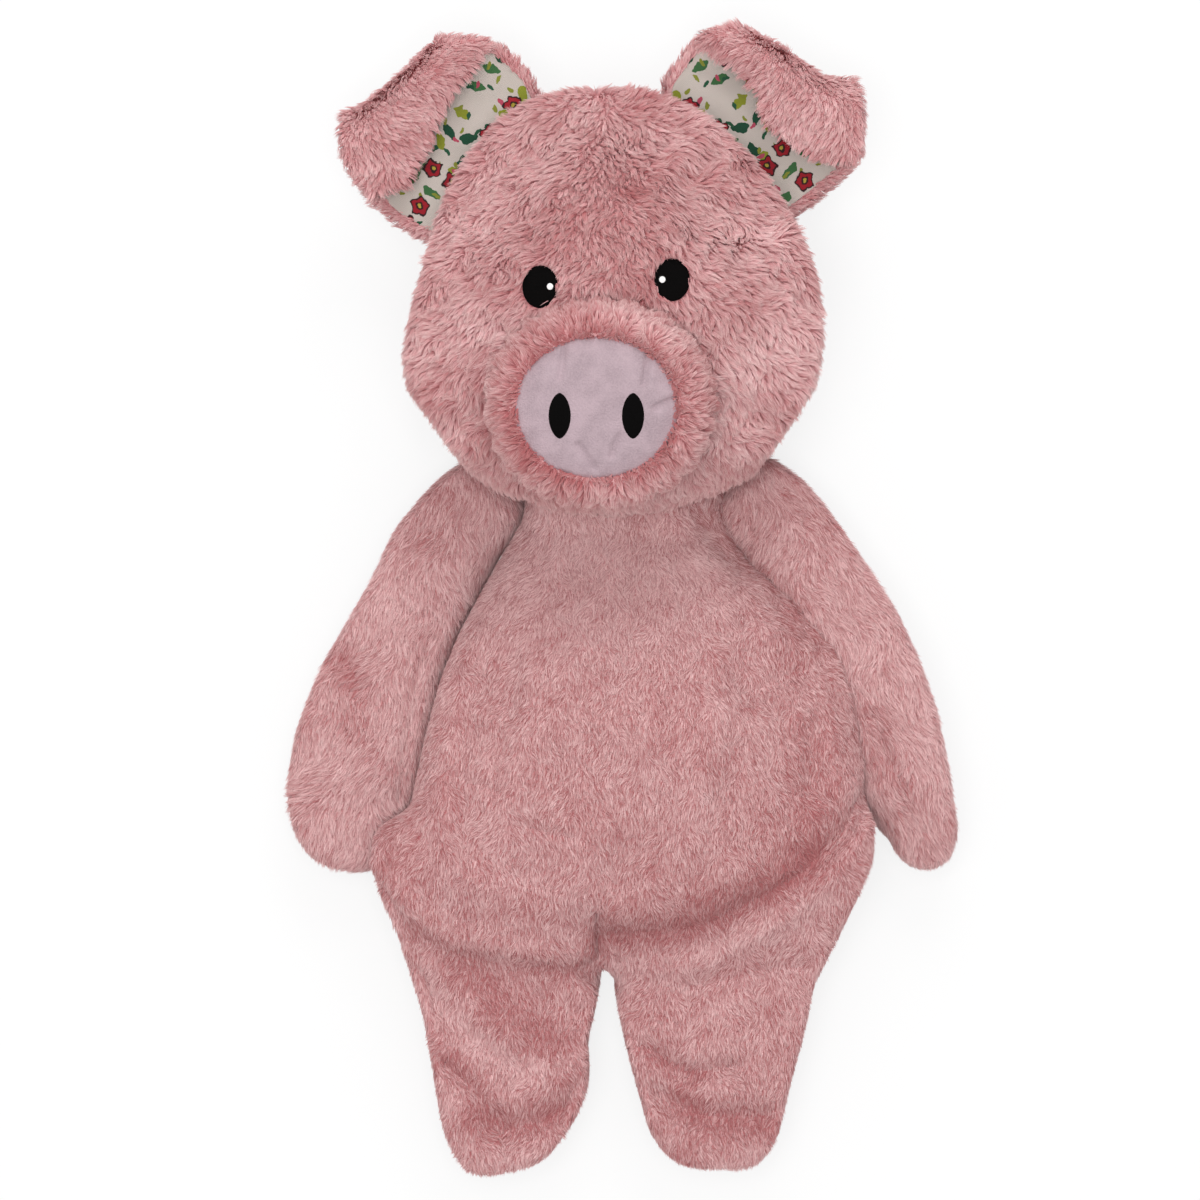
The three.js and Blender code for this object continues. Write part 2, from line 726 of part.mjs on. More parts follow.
const colours = {
  fur: 0xc49496,
  faceFur: 0xc08c8e,
  limbFur: 0xc79b9c,
  fill: 0xf4f1ec,
  disc: 0xc0a7ae,
  thread: 0x060504,
  glint: 0xf5f5f2,
  lining: 0xe6dfd6,
};

function mesh(name, solid, colour, roughness = 0.95) {
  const material = new THREE.MeshStandardMaterial({ color: colour, roughness, metalness: 0 });
  const made = new THREE.Mesh(geometryOf(solid), material);
  made.name = name;
  return made;
}

// A group whose own origin is the point that its body turns about.
function hinged(pivot, meshes) {
  const group = new THREE.Group();
  group.position.copy(pivot);
  for (const piece of meshes) {
    piece.geometry.translate(-pivot.x, -pivot.y, -pivot.z);
    group.add(piece);
  }
  return group;
}

function stuffed(names, form, splitZ, colour) {
  const { front, back, fill } = sewn(form, splitZ);
  return [
    mesh(names.front, front, colour),
    mesh(names.back, back, colour),
    mesh(names.fill, fill, colours.fill, 1),
  ];
}

function stuffedLimb(name, form, splitZ) {
  const names = { front: `${name}_front_panel`, back: `${name}_back_panel`, fill: `${name}_fill` };
  return stuffed(names, form, splitZ, colours.limbFur);
}

function facePieces() {
  const pieces = [
    mesh("muzzle_band", muzzleBand(), colours.faceFur),
    mesh("snout_disc", snoutDisc(), colours.disc, 0.9),
    mesh("muzzle_fill", muzzleFill(), colours.fill, 1),
  ];
  for (const side of Object.keys(sides)) {
    pieces.push(mesh(`${side}_nostril`, nostril(side), colours.thread, 0.6));
    pieces.push(mesh(`${side}_eye`, eye(side), colours.thread, 0.5));
    pieces.push(mesh(`${side}_eye_glint`, glint(side), colours.glint, 0.6));
  }
  return pieces;
}

function headWithEars() {
  const names = { front: "face_panel", back: "head_back_panel", fill: "head_fill" };
  const covers = stuffed(names, head, headSplitZ, colours.faceFur);
  const group = hinged(neck.centre, [...covers, ...facePieces()]);
  for (const side of Object.keys(sides)) {
    const { outer, lining, pivot } = earLayers(side);
    const ear = hinged(pivot, [
      mesh(`${side}_ear_outer`, outer, colours.limbFur),
      mesh(`${side}_ear_lining`, lining, colours.lining, 0.85),
    ]);
    ear.position.sub(neck.centre);
    group.add(ear);
  }
  return group;
}

const pig = new THREE.Group();
const torsoNames = { front: "torso_front_panel", back: "torso_back_panel", fill: "torso_fill" };
pig.add(...stuffed(torsoNames, torso, torsoSplitZ, colours.fur));
pig.add(headWithEars());
for (const side of Object.keys(sides)) {
  const armPieces = stuffedLimb(`${side}_arm`, (inset) => arm(side, inset), shoulders[side].centre.z);
  const legPieces = stuffedLimb(`${side}_leg`, (inset) => leg(side, inset), hipZ);
  pig.add(hinged(shoulders[side].centre, armPieces));
  pig.add(hinged(hips[side].centre, legPieces));
}
pig.add(hinged(tailRoot, [mesh("tail", tail(), colours.limbFur)]));

export default pig;
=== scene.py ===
"""Dresses the plush pig: fur covers and their pile, stitched face, folded ears and a photo stage."""
import json
import math
from dataclasses import dataclass, replace

import bmesh
import bpy
import numpy as np
from bpy.props import FloatProperty, FloatVectorProperty, PointerProperty
from mathutils import Vector
from mathutils.bvhtree import BVHTree
from mathutils.kdtree import KDTree
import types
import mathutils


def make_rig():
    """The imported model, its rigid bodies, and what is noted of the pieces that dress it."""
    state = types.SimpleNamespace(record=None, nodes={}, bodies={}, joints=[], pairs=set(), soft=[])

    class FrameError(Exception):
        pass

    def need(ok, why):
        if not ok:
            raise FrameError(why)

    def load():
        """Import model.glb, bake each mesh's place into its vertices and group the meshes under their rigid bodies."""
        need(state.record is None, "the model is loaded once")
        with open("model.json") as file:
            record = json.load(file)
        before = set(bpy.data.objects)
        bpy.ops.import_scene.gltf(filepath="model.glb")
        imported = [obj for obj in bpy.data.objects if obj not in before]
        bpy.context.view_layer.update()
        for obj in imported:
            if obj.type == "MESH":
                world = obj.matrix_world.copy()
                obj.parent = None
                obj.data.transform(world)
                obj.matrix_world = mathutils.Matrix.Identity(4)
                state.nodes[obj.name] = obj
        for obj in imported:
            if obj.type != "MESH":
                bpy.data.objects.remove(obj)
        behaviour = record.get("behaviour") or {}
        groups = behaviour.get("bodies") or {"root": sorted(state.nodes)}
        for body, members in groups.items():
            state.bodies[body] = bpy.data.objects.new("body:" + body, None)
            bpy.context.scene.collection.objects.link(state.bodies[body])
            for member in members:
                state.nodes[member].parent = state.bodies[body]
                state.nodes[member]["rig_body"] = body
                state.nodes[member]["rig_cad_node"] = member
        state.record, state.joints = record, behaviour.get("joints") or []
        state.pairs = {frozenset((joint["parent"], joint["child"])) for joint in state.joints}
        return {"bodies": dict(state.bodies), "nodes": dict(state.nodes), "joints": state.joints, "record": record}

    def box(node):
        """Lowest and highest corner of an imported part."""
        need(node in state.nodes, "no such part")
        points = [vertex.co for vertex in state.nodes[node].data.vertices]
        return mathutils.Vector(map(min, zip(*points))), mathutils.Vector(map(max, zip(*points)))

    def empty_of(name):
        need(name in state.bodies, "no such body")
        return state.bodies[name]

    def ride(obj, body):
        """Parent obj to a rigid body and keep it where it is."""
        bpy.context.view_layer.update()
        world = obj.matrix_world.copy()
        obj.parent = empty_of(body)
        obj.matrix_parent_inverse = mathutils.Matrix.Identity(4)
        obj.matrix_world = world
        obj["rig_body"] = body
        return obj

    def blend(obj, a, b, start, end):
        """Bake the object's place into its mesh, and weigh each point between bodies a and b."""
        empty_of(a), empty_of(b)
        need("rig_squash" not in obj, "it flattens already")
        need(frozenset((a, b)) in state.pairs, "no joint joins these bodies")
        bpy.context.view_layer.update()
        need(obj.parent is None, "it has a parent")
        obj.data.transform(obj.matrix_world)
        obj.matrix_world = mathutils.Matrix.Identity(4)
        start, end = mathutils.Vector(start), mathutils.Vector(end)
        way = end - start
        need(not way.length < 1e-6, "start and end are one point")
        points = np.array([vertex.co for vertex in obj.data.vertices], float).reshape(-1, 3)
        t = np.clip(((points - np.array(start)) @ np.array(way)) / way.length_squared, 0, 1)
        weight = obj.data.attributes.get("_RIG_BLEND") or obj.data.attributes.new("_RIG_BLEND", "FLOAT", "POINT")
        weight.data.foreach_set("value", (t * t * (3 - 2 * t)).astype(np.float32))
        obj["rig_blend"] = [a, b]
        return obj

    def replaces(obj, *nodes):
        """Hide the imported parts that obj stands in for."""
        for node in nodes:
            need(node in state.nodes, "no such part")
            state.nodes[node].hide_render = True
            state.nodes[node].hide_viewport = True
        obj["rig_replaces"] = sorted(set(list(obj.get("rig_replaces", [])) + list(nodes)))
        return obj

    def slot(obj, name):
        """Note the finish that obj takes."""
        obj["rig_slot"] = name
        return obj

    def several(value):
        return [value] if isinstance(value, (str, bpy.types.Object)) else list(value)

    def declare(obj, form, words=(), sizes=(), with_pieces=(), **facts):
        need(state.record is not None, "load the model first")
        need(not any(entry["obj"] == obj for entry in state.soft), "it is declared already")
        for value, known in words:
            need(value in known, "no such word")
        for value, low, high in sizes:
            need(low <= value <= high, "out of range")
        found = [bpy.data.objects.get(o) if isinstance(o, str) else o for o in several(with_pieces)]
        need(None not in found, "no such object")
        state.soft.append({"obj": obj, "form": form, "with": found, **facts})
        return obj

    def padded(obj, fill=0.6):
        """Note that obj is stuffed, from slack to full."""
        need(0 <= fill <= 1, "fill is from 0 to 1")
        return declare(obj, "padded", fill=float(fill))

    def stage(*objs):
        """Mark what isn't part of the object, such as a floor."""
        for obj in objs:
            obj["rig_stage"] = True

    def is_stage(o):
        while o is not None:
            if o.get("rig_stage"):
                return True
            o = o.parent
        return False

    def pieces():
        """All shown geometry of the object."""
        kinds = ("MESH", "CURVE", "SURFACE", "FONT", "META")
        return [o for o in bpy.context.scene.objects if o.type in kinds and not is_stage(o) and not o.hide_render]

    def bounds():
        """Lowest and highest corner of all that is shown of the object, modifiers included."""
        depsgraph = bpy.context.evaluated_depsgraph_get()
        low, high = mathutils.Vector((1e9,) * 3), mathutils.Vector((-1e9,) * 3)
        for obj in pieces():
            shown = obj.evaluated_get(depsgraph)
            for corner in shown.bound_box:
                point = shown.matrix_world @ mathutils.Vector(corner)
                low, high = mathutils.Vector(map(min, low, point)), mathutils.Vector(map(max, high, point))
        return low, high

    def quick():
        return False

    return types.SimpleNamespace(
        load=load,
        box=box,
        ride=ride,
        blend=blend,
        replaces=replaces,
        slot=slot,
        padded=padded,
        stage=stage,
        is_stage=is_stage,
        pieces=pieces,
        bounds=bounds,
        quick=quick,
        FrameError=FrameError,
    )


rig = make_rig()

bl_info = {
    "name": "Plush pig dressing",
    "version": (1, 0, 0),
    "blender": (4, 5, 0),
    "location": "3D View > Sidebar > Pig",
    "description": "Makes the fur covers, stitched face, folded ears and stage of a plush pig",
    "category": "Object",
}

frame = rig.load()
CAD_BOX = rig.bounds()
NODES = frame["nodes"]
JOINTS = {joint["name"]: joint for joint in frame["joints"]}
SIZE_FILE = "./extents.json"

MM = 0.001
WELD = 1e-6
TINY = 1e-9
SIDES = {"right": -1, "left": 1}
PILE_UV = "OFBake"  # the map of the pile: across it the tone, up it from root to tip
COTTON_UV = "Cotton"

# The photograph's scale at the sight height, the pixel over the toy's origin and the middle of the picture
PIXEL = 0.3322 * MM
ORIGIN_PIXEL = (612, 740)
MIDDLE_PIXEL = (600, 600)
CAMERA_HEIGHT = 1640 * MM
SIGHT_HEIGHT = 40 * MM


def from_photo(pixels, height=SIGHT_HEIGHT):
    """Places in the frame, in metres, of pixels of the photograph that show things at a height."""
    pixels, middle = np.array(pixels, float), np.array(MIDDLE_PIXEL)
    nearness = (CAMERA_HEIGHT - height) / (CAMERA_HEIGHT - SIGHT_HEIGHT)
    return ((pixels - middle) * nearness + middle - ORIGIN_PIXEL) * np.array([PIXEL, -PIXEL])


def linear(*screen):
    """A screen colour of 0 to 255 as the linear colour that a shader takes."""
    shares = [value / 255 for value in screen]
    return tuple(s / 12.92 if s <= 0.04045 else ((s + 0.055) / 1.055) ** 2.4 for s in shares)


def length(name, description, millimetres):
    """A length that the user can change."""
    return FloatProperty(name=name, description=description, default=millimetres * MM, min=0, unit="LENGTH")


def share(name, description, value):
    """A share that the user can change."""
    return FloatProperty(name=name, description=description, default=value, min=0, max=2, subtype="FACTOR")


def turn(name, description, degrees):
    """An angle that the user can change."""
    return FloatProperty(name=name, description=description, default=math.radians(degrees), subtype="ANGLE")


def colour(name, description, *screen):
    """A colour that the user can change."""
    return FloatVectorProperty(
        name=name, description=description, default=linear(*screen), size=3, min=0, max=1, subtype="COLOR"
    )


def bell(distance):
    """1 at no distance, and softly down to 0 a few away."""
    return np.exp(-(distance**2))


def ramp(values, start, run):
    """0 at values up to the start, and evenly up to 1 a run further on."""
    return np.clip((values - start) / run, 0, 1)


class PigCovers(bpy.types.PropertyGroup):
    """How the stuffed fur covers are made."""

    grain: length("Grain", "Size of the cells that a cover is built from", 3)
    soft_pressure: FloatProperty(
        name="Stuffing", description="Pressure that swells a cover", default=4, min=0
    )
    give: share("Give", "How much a cover's cloth stretches as it is stuffed", 0.04)
    swell: length("Swell", "How far the stuffing may push a cover out", 2.5)
    body_inset: length("Body cloth", "Depth of the body's cloth under the ends of its pile", 1.2)
    arm_inset: length("Arm cloth", "Depth of the arms' cloth under the ends of their pile", 1.3)
    head_inset: length("Head cloth", "Depth of the head's cloth under the ends of its pile", 2.3)
    muzzle_inset: length("Muzzle cloth", "Depth of the snout's cloth under the ends of its pile", 2.2)
    halves_x: length("Halves", "Distance of the middle seam from the origin, to the right", 3.3)
    hip_start: length("Hip start", "How far below the origin the hips begin to bend", 46)
    hip_end: length("Hip end", "How far below the origin the hips stop bending", 80)


class PigPile(bpy.types.PropertyGroup):
    """Lengths and lean of the pile on each cover."""

    head: length("Head pile", "Length of the hairs on the head", 5.8)
    body: length("Body pile", "Length of the hairs on the belly, back and legs", 2.4)
    arms: length("Arm pile", "Length of the hairs on the arms", 3.6)
    muzzle: length("Muzzle pile", "Length of the hairs round the snout", 4.6)
    ears: length("Ear pile", "Length of the hairs on the ears", 4.4)
    tail: length("Tail pile", "Length of the hairs on the tail", 2)
    lean: turn("Lean", "How far a hair's tip leans from upright", 68)
    thickness: length("Thickness", "Width of a hair at its root", 0.3)


class PigColours(bpy.types.PropertyGroup):
    """Colours of the cloths and threads."""

    # The roots are painted darker, as the shade deep in the pile, and the tips paler, as painted light on the ends.
    root: colour("Long roots", "The head's and ears' pile near its cloth", 222, 148, 151)
    middle: colour("Long middle", "The head's and ears' pile halfway up", 238, 188, 189)
    tip: colour("Long tips", "Ends of the head's and ears' pile", 250, 224, 221)
    short_root: colour("Short roots", "The body's and arms' pile near its cloth", 216, 164, 165)
    short_middle: colour("Short middle", "The body's and arms' pile halfway up", 231, 187, 187)
    short_tip: colour("Short tips", "Ends of the body's and arms' pile", 240, 207, 205)
    # The darkest tone of the pile. Its own tones, which differ at random, reach towards it, and so does the shade
    # painted into its creases, valleys and grooves.
    flush: colour("Flush", "Darkest tone of the pile", 192, 138, 140)
    backing: colour("Backing", "Cloth under the pile", 222, 156, 158)
    velour: colour("Velour", "Snout disc", 178, 157, 164)
    black: colour("Black thread", "Eyes and nostrils", 6, 5, 5)
    white: colour("White thread", "Glints of the eyes", 240, 238, 236)
    # The cream cotton's ground is greyed to its look in the shade of the fold: partly its own colour, partly painted
    # shade.
    cotton: colour("Cotton", "Ground of the ear lining", 196, 185, 177)


class PigFace(bpy.types.PropertyGroup):
    """Sizes of the stitched face."""

    stitch: length("Stitch", "Spacing of the satin stitches", 0.45)
    stitch_rise: length("Stitch rise", "How far a stitch stands out of the patch", 0.05)
    patch_rise: length("Patch rise", "How far a stitched eye domes", 0.7)
    eye_lift: length("Eye lift", "How far an eye's edge stands over the face's cloth", 1.6)
    root_depth: length("Root depth", "How far the stitches go in", 2.2)


class PigEars(bpy.types.PropertyGroup):
    """Sizes of the folded ears."""

    fold: length("Fold", "Radius of the fold at its outside", 6.5)
    fur_wall: length("Fur cloth", "Thickness of the fur cloth without its pile", 1.6)
    cotton_wall: length("Cotton", "Thickness of the lining", 0.5)
    hem: length("Hem", "Fur that shows beside the lining", 2.2)
    tuck: length("Tuck", "How far an ear runs in under the head's pile", 5)


class PigStage(bpy.types.PropertyGroup):
    """Light, floor and camera."""

    camera_height: length("Camera height", "Height of the camera over the floor", CAMERA_HEIGHT / MM)
    sight_height: length("Sight height", "Height at which the picture has its scale", SIGHT_HEIGHT / MM)
    lamp_size: length("Lamp size", "Width of the soft lamp", 700)
    lamp_power: FloatProperty(
        name="Lamp power", description="Power of the soft lamp", default=12.9, unit="POWER"
    )
    fill: FloatProperty(name="Fill", description="Strength of the even light all round", default=0.5, min=0)


def settings(group):
    """One of the scene's groups of sizes and colours."""
    return getattr(bpy.context.scene, group)


class Value:
    """A number on a shader socket. Python's operators on it add Math nodes."""

    def __init__(self, finish, socket):
        self.finish, self.socket = finish, socket

    def _math(self, operation, *others):
        links = [other.socket if isinstance(other, Value) else other for other in others]
        node = self.finish.node("ShaderNodeMath", {"operation": operation}, *links)
        return Value(self.finish, node.outputs[0])

    def __add__(self, other):
        return self._math("ADD", self, other)

    __radd__ = __add__

    def __sub__(self, other):
        return self._math("SUBTRACT", self, other)

    def __rsub__(self, other):
        return self._math("SUBTRACT", other, self)

    def __mul__(self, other):
        return self._math("MULTIPLY", self, other)

    __rmul__ = __mul__

    def __truediv__(self, other):
        return self._math("DIVIDE", self, other)

    def sine(self):
        return self._math("SINE", self)

    def cosine(self):
        return self._math("COSINE", self)

    def root(self):
        return self._math("SQRT", self)

    def angle(self, across):
        """The angle of a point that lies this far up and some way across."""
        return self._math("ARCTAN2", self, across)

    def upper(self, other):
        return self._math("MAXIMUM", self, other)

    def step(self, low, high):
        """0 below low, 1 above high, and smooth between them."""
        links = [self.socket, low, high, 0.0, 1.0]
        choice = {"interpolation_type": "SMOOTHSTEP"}
        return Value(self.finish, self.finish.node("ShaderNodeMapRange", choice, *links).outputs[0])


class Finish:
    """A material: a Principled shader, and the nodes that feed it."""

    mix_sockets = (0, 6, 7)  # a Mix node's factor and its two colours

    def __init__(self, name):
        self.material = bpy.data.materials.new(name)
        self.material.use_nodes = True
        self.tree = self.material.node_tree
        self.tree.nodes.clear()
        self.shader = self.node("ShaderNodeBsdfPrincipled")
        out = self.node("ShaderNodeOutputMaterial")
        self.tree.links.new(self.shader.outputs[0], out.inputs[0])

    def node(self, kind, choices=None, *feeds, **named):
        """A node of a kind, with its choices set first and then the values or links of its sockets."""
        node = self.tree.nodes.new(kind)
        for key, value in (choices or {}).items():
            if key == "stops":
                self._stops(node.color_ramp, value)
            else:
                setattr(node, key, value)
        for key, value in [*enumerate(feeds), *named.items()]:
            socket = node.inputs[key if isinstance(key, int) else key.replace("_", " ")]
            value = value.socket if isinstance(value, Value) else value
            if isinstance(value, bpy.types.NodeSocket):
                self.tree.links.new(value, socket)
            else:
                socket.default_value = value
        return node

    @staticmethod
    def _stops(ramp, stops):
        while len(ramp.elements) < len(stops):
            ramp.elements.new(1)
        for element, (place, shade) in zip(ramp.elements, stops):
            element.position = place
            element.color = (*shade, 1)

    def set(self, **sockets):
        """Sets or links the Principled shader's sockets."""
        for key, value in sockets.items():
            socket = self.shader.inputs[key.replace("_", " ")]
            if isinstance(value, (Value, bpy.types.NodeSocket)):
                self.tree.links.new(getattr(value, "socket", value), socket)
            else:
                socket.default_value = (*value, 1) if socket.type == "RGBA" else value

    def number(self, kind, choices=None, output=0, **named):
        """One output of a node as a Value."""
        return Value(self, self.node(kind, choices, **named).outputs[output])

    def place(self):
        """The place on the piece, in metres."""
        return self.node("ShaderNodeTexCoord").outputs["Object"]

    def parts(self, vector):
        """The x, y and z of a vector, as Values."""
        return [Value(self, part) for part in self.node("ShaderNodeSeparateXYZ", None, vector).outputs]

    def vector(self, operation, *feeds, **named):
        """The outcome of vector maths."""
        return self.node("ShaderNodeVectorMath", {"operation": operation}, *feeds, **named).outputs[0]

    def noise(self, size, detail):
        """Soft noise with features of a size in metres."""
        return self.number("ShaderNodeTexNoise", Vector=self.place(), Scale=1 / size, Detail=detail)

    def mix(self, factor, first, second, blend="MIX"):
        """A mix of two colours."""
        node = self.node("ShaderNodeMix", {"data_type": "RGBA", "blend_type": blend})
        for place, value in zip(self.mix_sockets, (factor, first, second)):
            if isinstance(value, (Value, bpy.types.NodeSocket)):
                self.tree.links.new(getattr(value, "socket", value), node.inputs[place])
            elif place:
                node.inputs[place].default_value = (*value, 1)
            else:
                node.inputs[place].default_value = value
        return node.outputs[2]

    def bump(self, height, distance, strength=1.0):
        """Gives the surface the relief of a height."""
        node = self.node("ShaderNodeBump", None, Height=height, Distance=distance, Strength=strength)
        self.tree.links.new(node.outputs[0], self.shader.inputs["Normal"])


def finish_once(name, make, *shades):
    """The material of a name, made the first time it is wanted."""
    found = bpy.data.materials.get(name)
    return found or make(name, *shades)


def pile_finish(name, root, middle, tip):
    """Hairs: dark red at the root, as painted shade deep in the pile, pink halfway, and pale at the tip, as painted
    light on the ends, each with its own tone.
    """
    made = Finish(name)
    tone, up, _ = made.parts(made.node("ShaderNodeUVMap", {"uv_map": PILE_UV}).outputs[0])
    low = made.mix(up.step(0.0, 0.55), root, middle)
    hair = made.mix(up.step(0.5, 1.0), low, tip)
    # Low tones take the darkest tone: partly the pile's own random tone, partly painted shade in creases and hollows,
    # and painted light where the tone is raised.
    shade = made.mix(tone, settings("pig_colours").flush, (1.0, 1.0, 1.0))
    made.set(Base_Color=made.mix(1.0, hair, shade, "MULTIPLY"), Roughness=0.8)
    made.set(Sheen_Weight=0.1, Sheen_Roughness=0.6, Specular_IOR_Level=0.15)
    return made.material


def long_pile():
    """The finish of the head's and ears' pile."""
    shades = settings("pig_colours")
    return finish_once("long_pile", pile_finish, shades.root, shades.middle, shades.tip)


def short_pile():
    """The finish of the body's and arms' pile."""
    shades = settings("pig_colours")
    return finish_once("short_pile", pile_finish, shades.short_root, shades.short_middle, shades.short_tip)


def backing_finish(name):
    """The knitted cloth under the pile, with short dense underfur."""
    colours = settings("pig_colours")
    made = Finish(name)
    patches = made.noise(9 * MM, detail=3.0)
    fuzz = made.noise(0.7 * MM, detail=4.0)
    shade = made.mix(patches, tuple(0.8 * c for c in colours.backing), colours.backing)
    light = made.mix(fuzz.step(0.35, 0.7), shade, colours.middle)
    made.set(Base_Color=light, Roughness=0.9, Sheen_Weight=0.2, Specular_IOR_Level=0.2)
    made.bump(fuzz, 0.6 * MM)
    return made.material


def backing():
    """The finish of the cloth under the pile."""
    return finish_once("backing", backing_finish)


def velour_finish(name):
    """Short lilac nap, brushed in soft patches."""
    colours = settings("pig_colours")
    made = Finish(name)
    nap = made.noise(0.55 * MM, detail=4.0)
    brushed = made.noise(7 * MM, detail=3.0)
    dark = tuple(0.8 * c for c in colours.velour)
    shade = made.mix(brushed.step(0.3, 0.7), dark, colours.velour)
    pale = tuple(1.25 * c for c in colours.velour)
    made.set(Base_Color=made.mix(nap.step(0.3, 0.75) * 0.4, shade, pale), Roughness=0.95)
    made.set(Sheen_Weight=0.05, Sheen_Roughness=0.5, Specular_IOR_Level=0.1)
    made.bump(nap, 0.35 * MM)
    return made.material


def thread_finish(name, shade):
    """Satin stitches that lie side by side across a patch."""
    made = Finish(name)
    rows = (made.parts(made.place())[1] * (2 * math.pi / settings("pig_face").stitch)).sine()
    fibre = made.noise(0.25 * MM, detail=3.0)
    paler = tuple(min(1.0, 1.4 * c) for c in shade)
    made.set(Base_Color=made.mix(fibre, shade, paler), Roughness=0.8, Specular_IOR_Level=0.05)
    made.bump(rows * 0.5 + fibre * 0.4, 0.08 * MM)
    return made.material


def cotton_finish(name):
    """Woven cream cotton with small scattered flowers, leaves and buds."""
    colours = settings("pig_colours")
    made = Finish(name)
    uv = made.node("ShaderNodeUVMap", {"uv_map": COTTON_UV}).outputs[0]
    washed, threads = linear(186, 176, 168), 1.6 * MM
    # The ground colour carries painted shade of the fold as well as the cotton's own cream.
    ground = made.mix(made.noise(14 * MM, detail=2.0).step(0.3, 0.8), colours.cotton, washed)
    ground = scattered_print(made, uv, ground)
    warp, weft = (
        made.number("ShaderNodeTexWave", {"bands_direction": way}, 1, Vector=uv, Scale=1 / threads)
        for way in ("X", "Y")
    )
    made.set(Base_Color=ground, Roughness=0.85, Sheen_Weight=0.1, Specular_IOR_Level=0.25)
    made.bump(warp * 0.5 + weft * 0.5, 0.08 * MM)
    return made.material


@dataclass
class Motif:
    """One motif of the print. Its reach is a share of the cells in which it is strewn."""

    cell: float
    inks: list
    reach: float
    petals: int
    shift: tuple


def motifs():
    """Leaves, buds and five-petalled blossoms."""
    leaf = [(0.0, linear(28, 70, 50)), (0.4, linear(58, 100, 60)), (0.75, linear(132, 138, 44))]
    bud = [(0.0, linear(172, 70, 90)), (0.3, linear(36, 80, 56)), (0.7, linear(126, 130, 50))]
    blossom = [(0.0, linear(146, 26, 38)), (0.5, linear(190, 92, 108)), (0.7, linear(160, 34, 46))]
    return (
        Motif(7.6 * MM, leaf, 0.42, 0, (3.1 * MM, 1.7 * MM, 0)),
        Motif(5.2 * MM, bud, 0.26, 0, (11.9 * MM, 5.3 * MM, 0)),
        Motif(11.5 * MM, blossom, 0.31, 5, (1.4 * MM, 2.6 * MM, 0)),
    )


def scattered_print(made, uv, ground):
    """Leaves, buds and blossoms with dark rims, thrown over a ground and drawn with a loose brush."""
    rim_ink, heart_ink = linear(46, 24, 26), linear(170, 150, 60)
    petal_depth, rim_start, ring, heart = 0.12, 0.8, 0.36, 0.2  # shares of a blossom
    leaf_slimness, soft, ring_soft, left_out = 5.0, 0.012, 0.01, 0.18
    stroke = 2.6 * MM
    brush = made.node("ShaderNodeTexNoise", None, Vector=uv, Scale=1 / stroke, Detail=2.0)
    uv = made.vector("ADD", uv, made.vector("SCALE", brush.outputs["Color"], Scale=stroke))
    plan = {"voronoi_dimensions": "2D"}
    for motif in motifs():
        moved = made.vector("ADD", uv, motif.shift)
        cells = made.node("ShaderNodeTexVoronoi", plan, Vector=moved, Scale=1 / motif.cell, Randomness=0.75)
        from_middle = made.parts(made.vector("SUBTRACT", moved, cells.outputs["Position"]))
        across, along = (part / motif.cell for part in from_middle[:2])
        chance = made.node("ShaderNodeSeparateColor", None, cells.outputs["Color"]).outputs
        spin = Value(made, chance[0]) * (2 * math.pi)
        x = across * spin.cosine() - along * spin.sine()
        y = across * spin.sine() + along * spin.cosine()
        if motif.petals:
            distance = (x * x + y * y).root()
            wave = (y.angle(x) * motif.petals).cosine()
            edge = motif.reach * (1 - petal_depth) + wave * (motif.reach * petal_depth)
        else:
            distance = (x * x * leaf_slimness + y * y).root()
            edge = motif.reach
        inside = (edge - distance).step(-soft, soft)
        wanted = Value(made, chance[1]).step(left_out, left_out + 0.01)
        ink = made.node("ShaderNodeValToRGB", {"stops": motif.inks}, chance[2])
        ink.color_ramp.interpolation = "CONSTANT"
        shade = ink.outputs[0]
        if motif.petals:
            shade = made.mix((edge * rim_start - distance).step(-soft, soft), rim_ink, shade)
            shade = made.mix((motif.reach * ring - distance).step(-ring_soft, ring_soft), shade, rim_ink)
            shade = made.mix((motif.reach * heart - distance).step(-ring_soft, ring_soft), shade, heart_ink)
        ground = made.mix(inside * wanted, ground, shade)
    return ground


def select(piece):
    """Selects one object alone, and makes it the active one."""
    bpy.ops.object.select_all(action="DESELECT")
    piece.select_set(True)
    bpy.context.view_layer.objects.active = piece


def applied(piece, kind, **choices):
    """Puts a modifier on a piece and applies it."""
    select(piece)
    modifier = piece.modifiers.new(kind, kind)
    for key, value in choices.items():
        setattr(modifier, key, value)
    bpy.ops.object.modifier_apply(modifier=modifier.name)


def places(piece):
    """The places of a piece's points, in metres."""
    found = np.empty(len(piece.data.vertices) * 3)
    piece.data.vertices.foreach_get("co", found)
    return found.reshape(-1, 3)


def set_places(piece, points):
    """Moves a piece's points to places in metres."""
    piece.data.vertices.foreach_set("co", points.ravel())
    piece.data.update()


def normals(piece):
    """The outward directions at a piece's points."""
    found = np.empty(len(piece.data.vertices) * 3)
    piece.data.vertex_normals.foreach_get("vector", found)
    return found.reshape(-1, 3)


def unit(vectors):
    """Vectors at length 1."""
    return vectors / np.maximum(np.linalg.norm(vectors, axis=1), TINY)[:, None]


def made_piece(name, points, faces):
    """A mesh object from points and faces."""
    mesh = bpy.data.meshes.new(name)
    mesh.from_pydata([tuple(p) for p in points], [], [tuple(f) for f in faces])
    mesh.update()
    piece = bpy.data.objects.new(name, mesh)
    bpy.context.scene.collection.objects.link(piece)
    return piece


def smooth_shaded(piece):
    """Shades a piece as one smooth surface."""
    piece.data.polygons.foreach_set("use_smooth", np.ones(len(piece.data.polygons), bool))


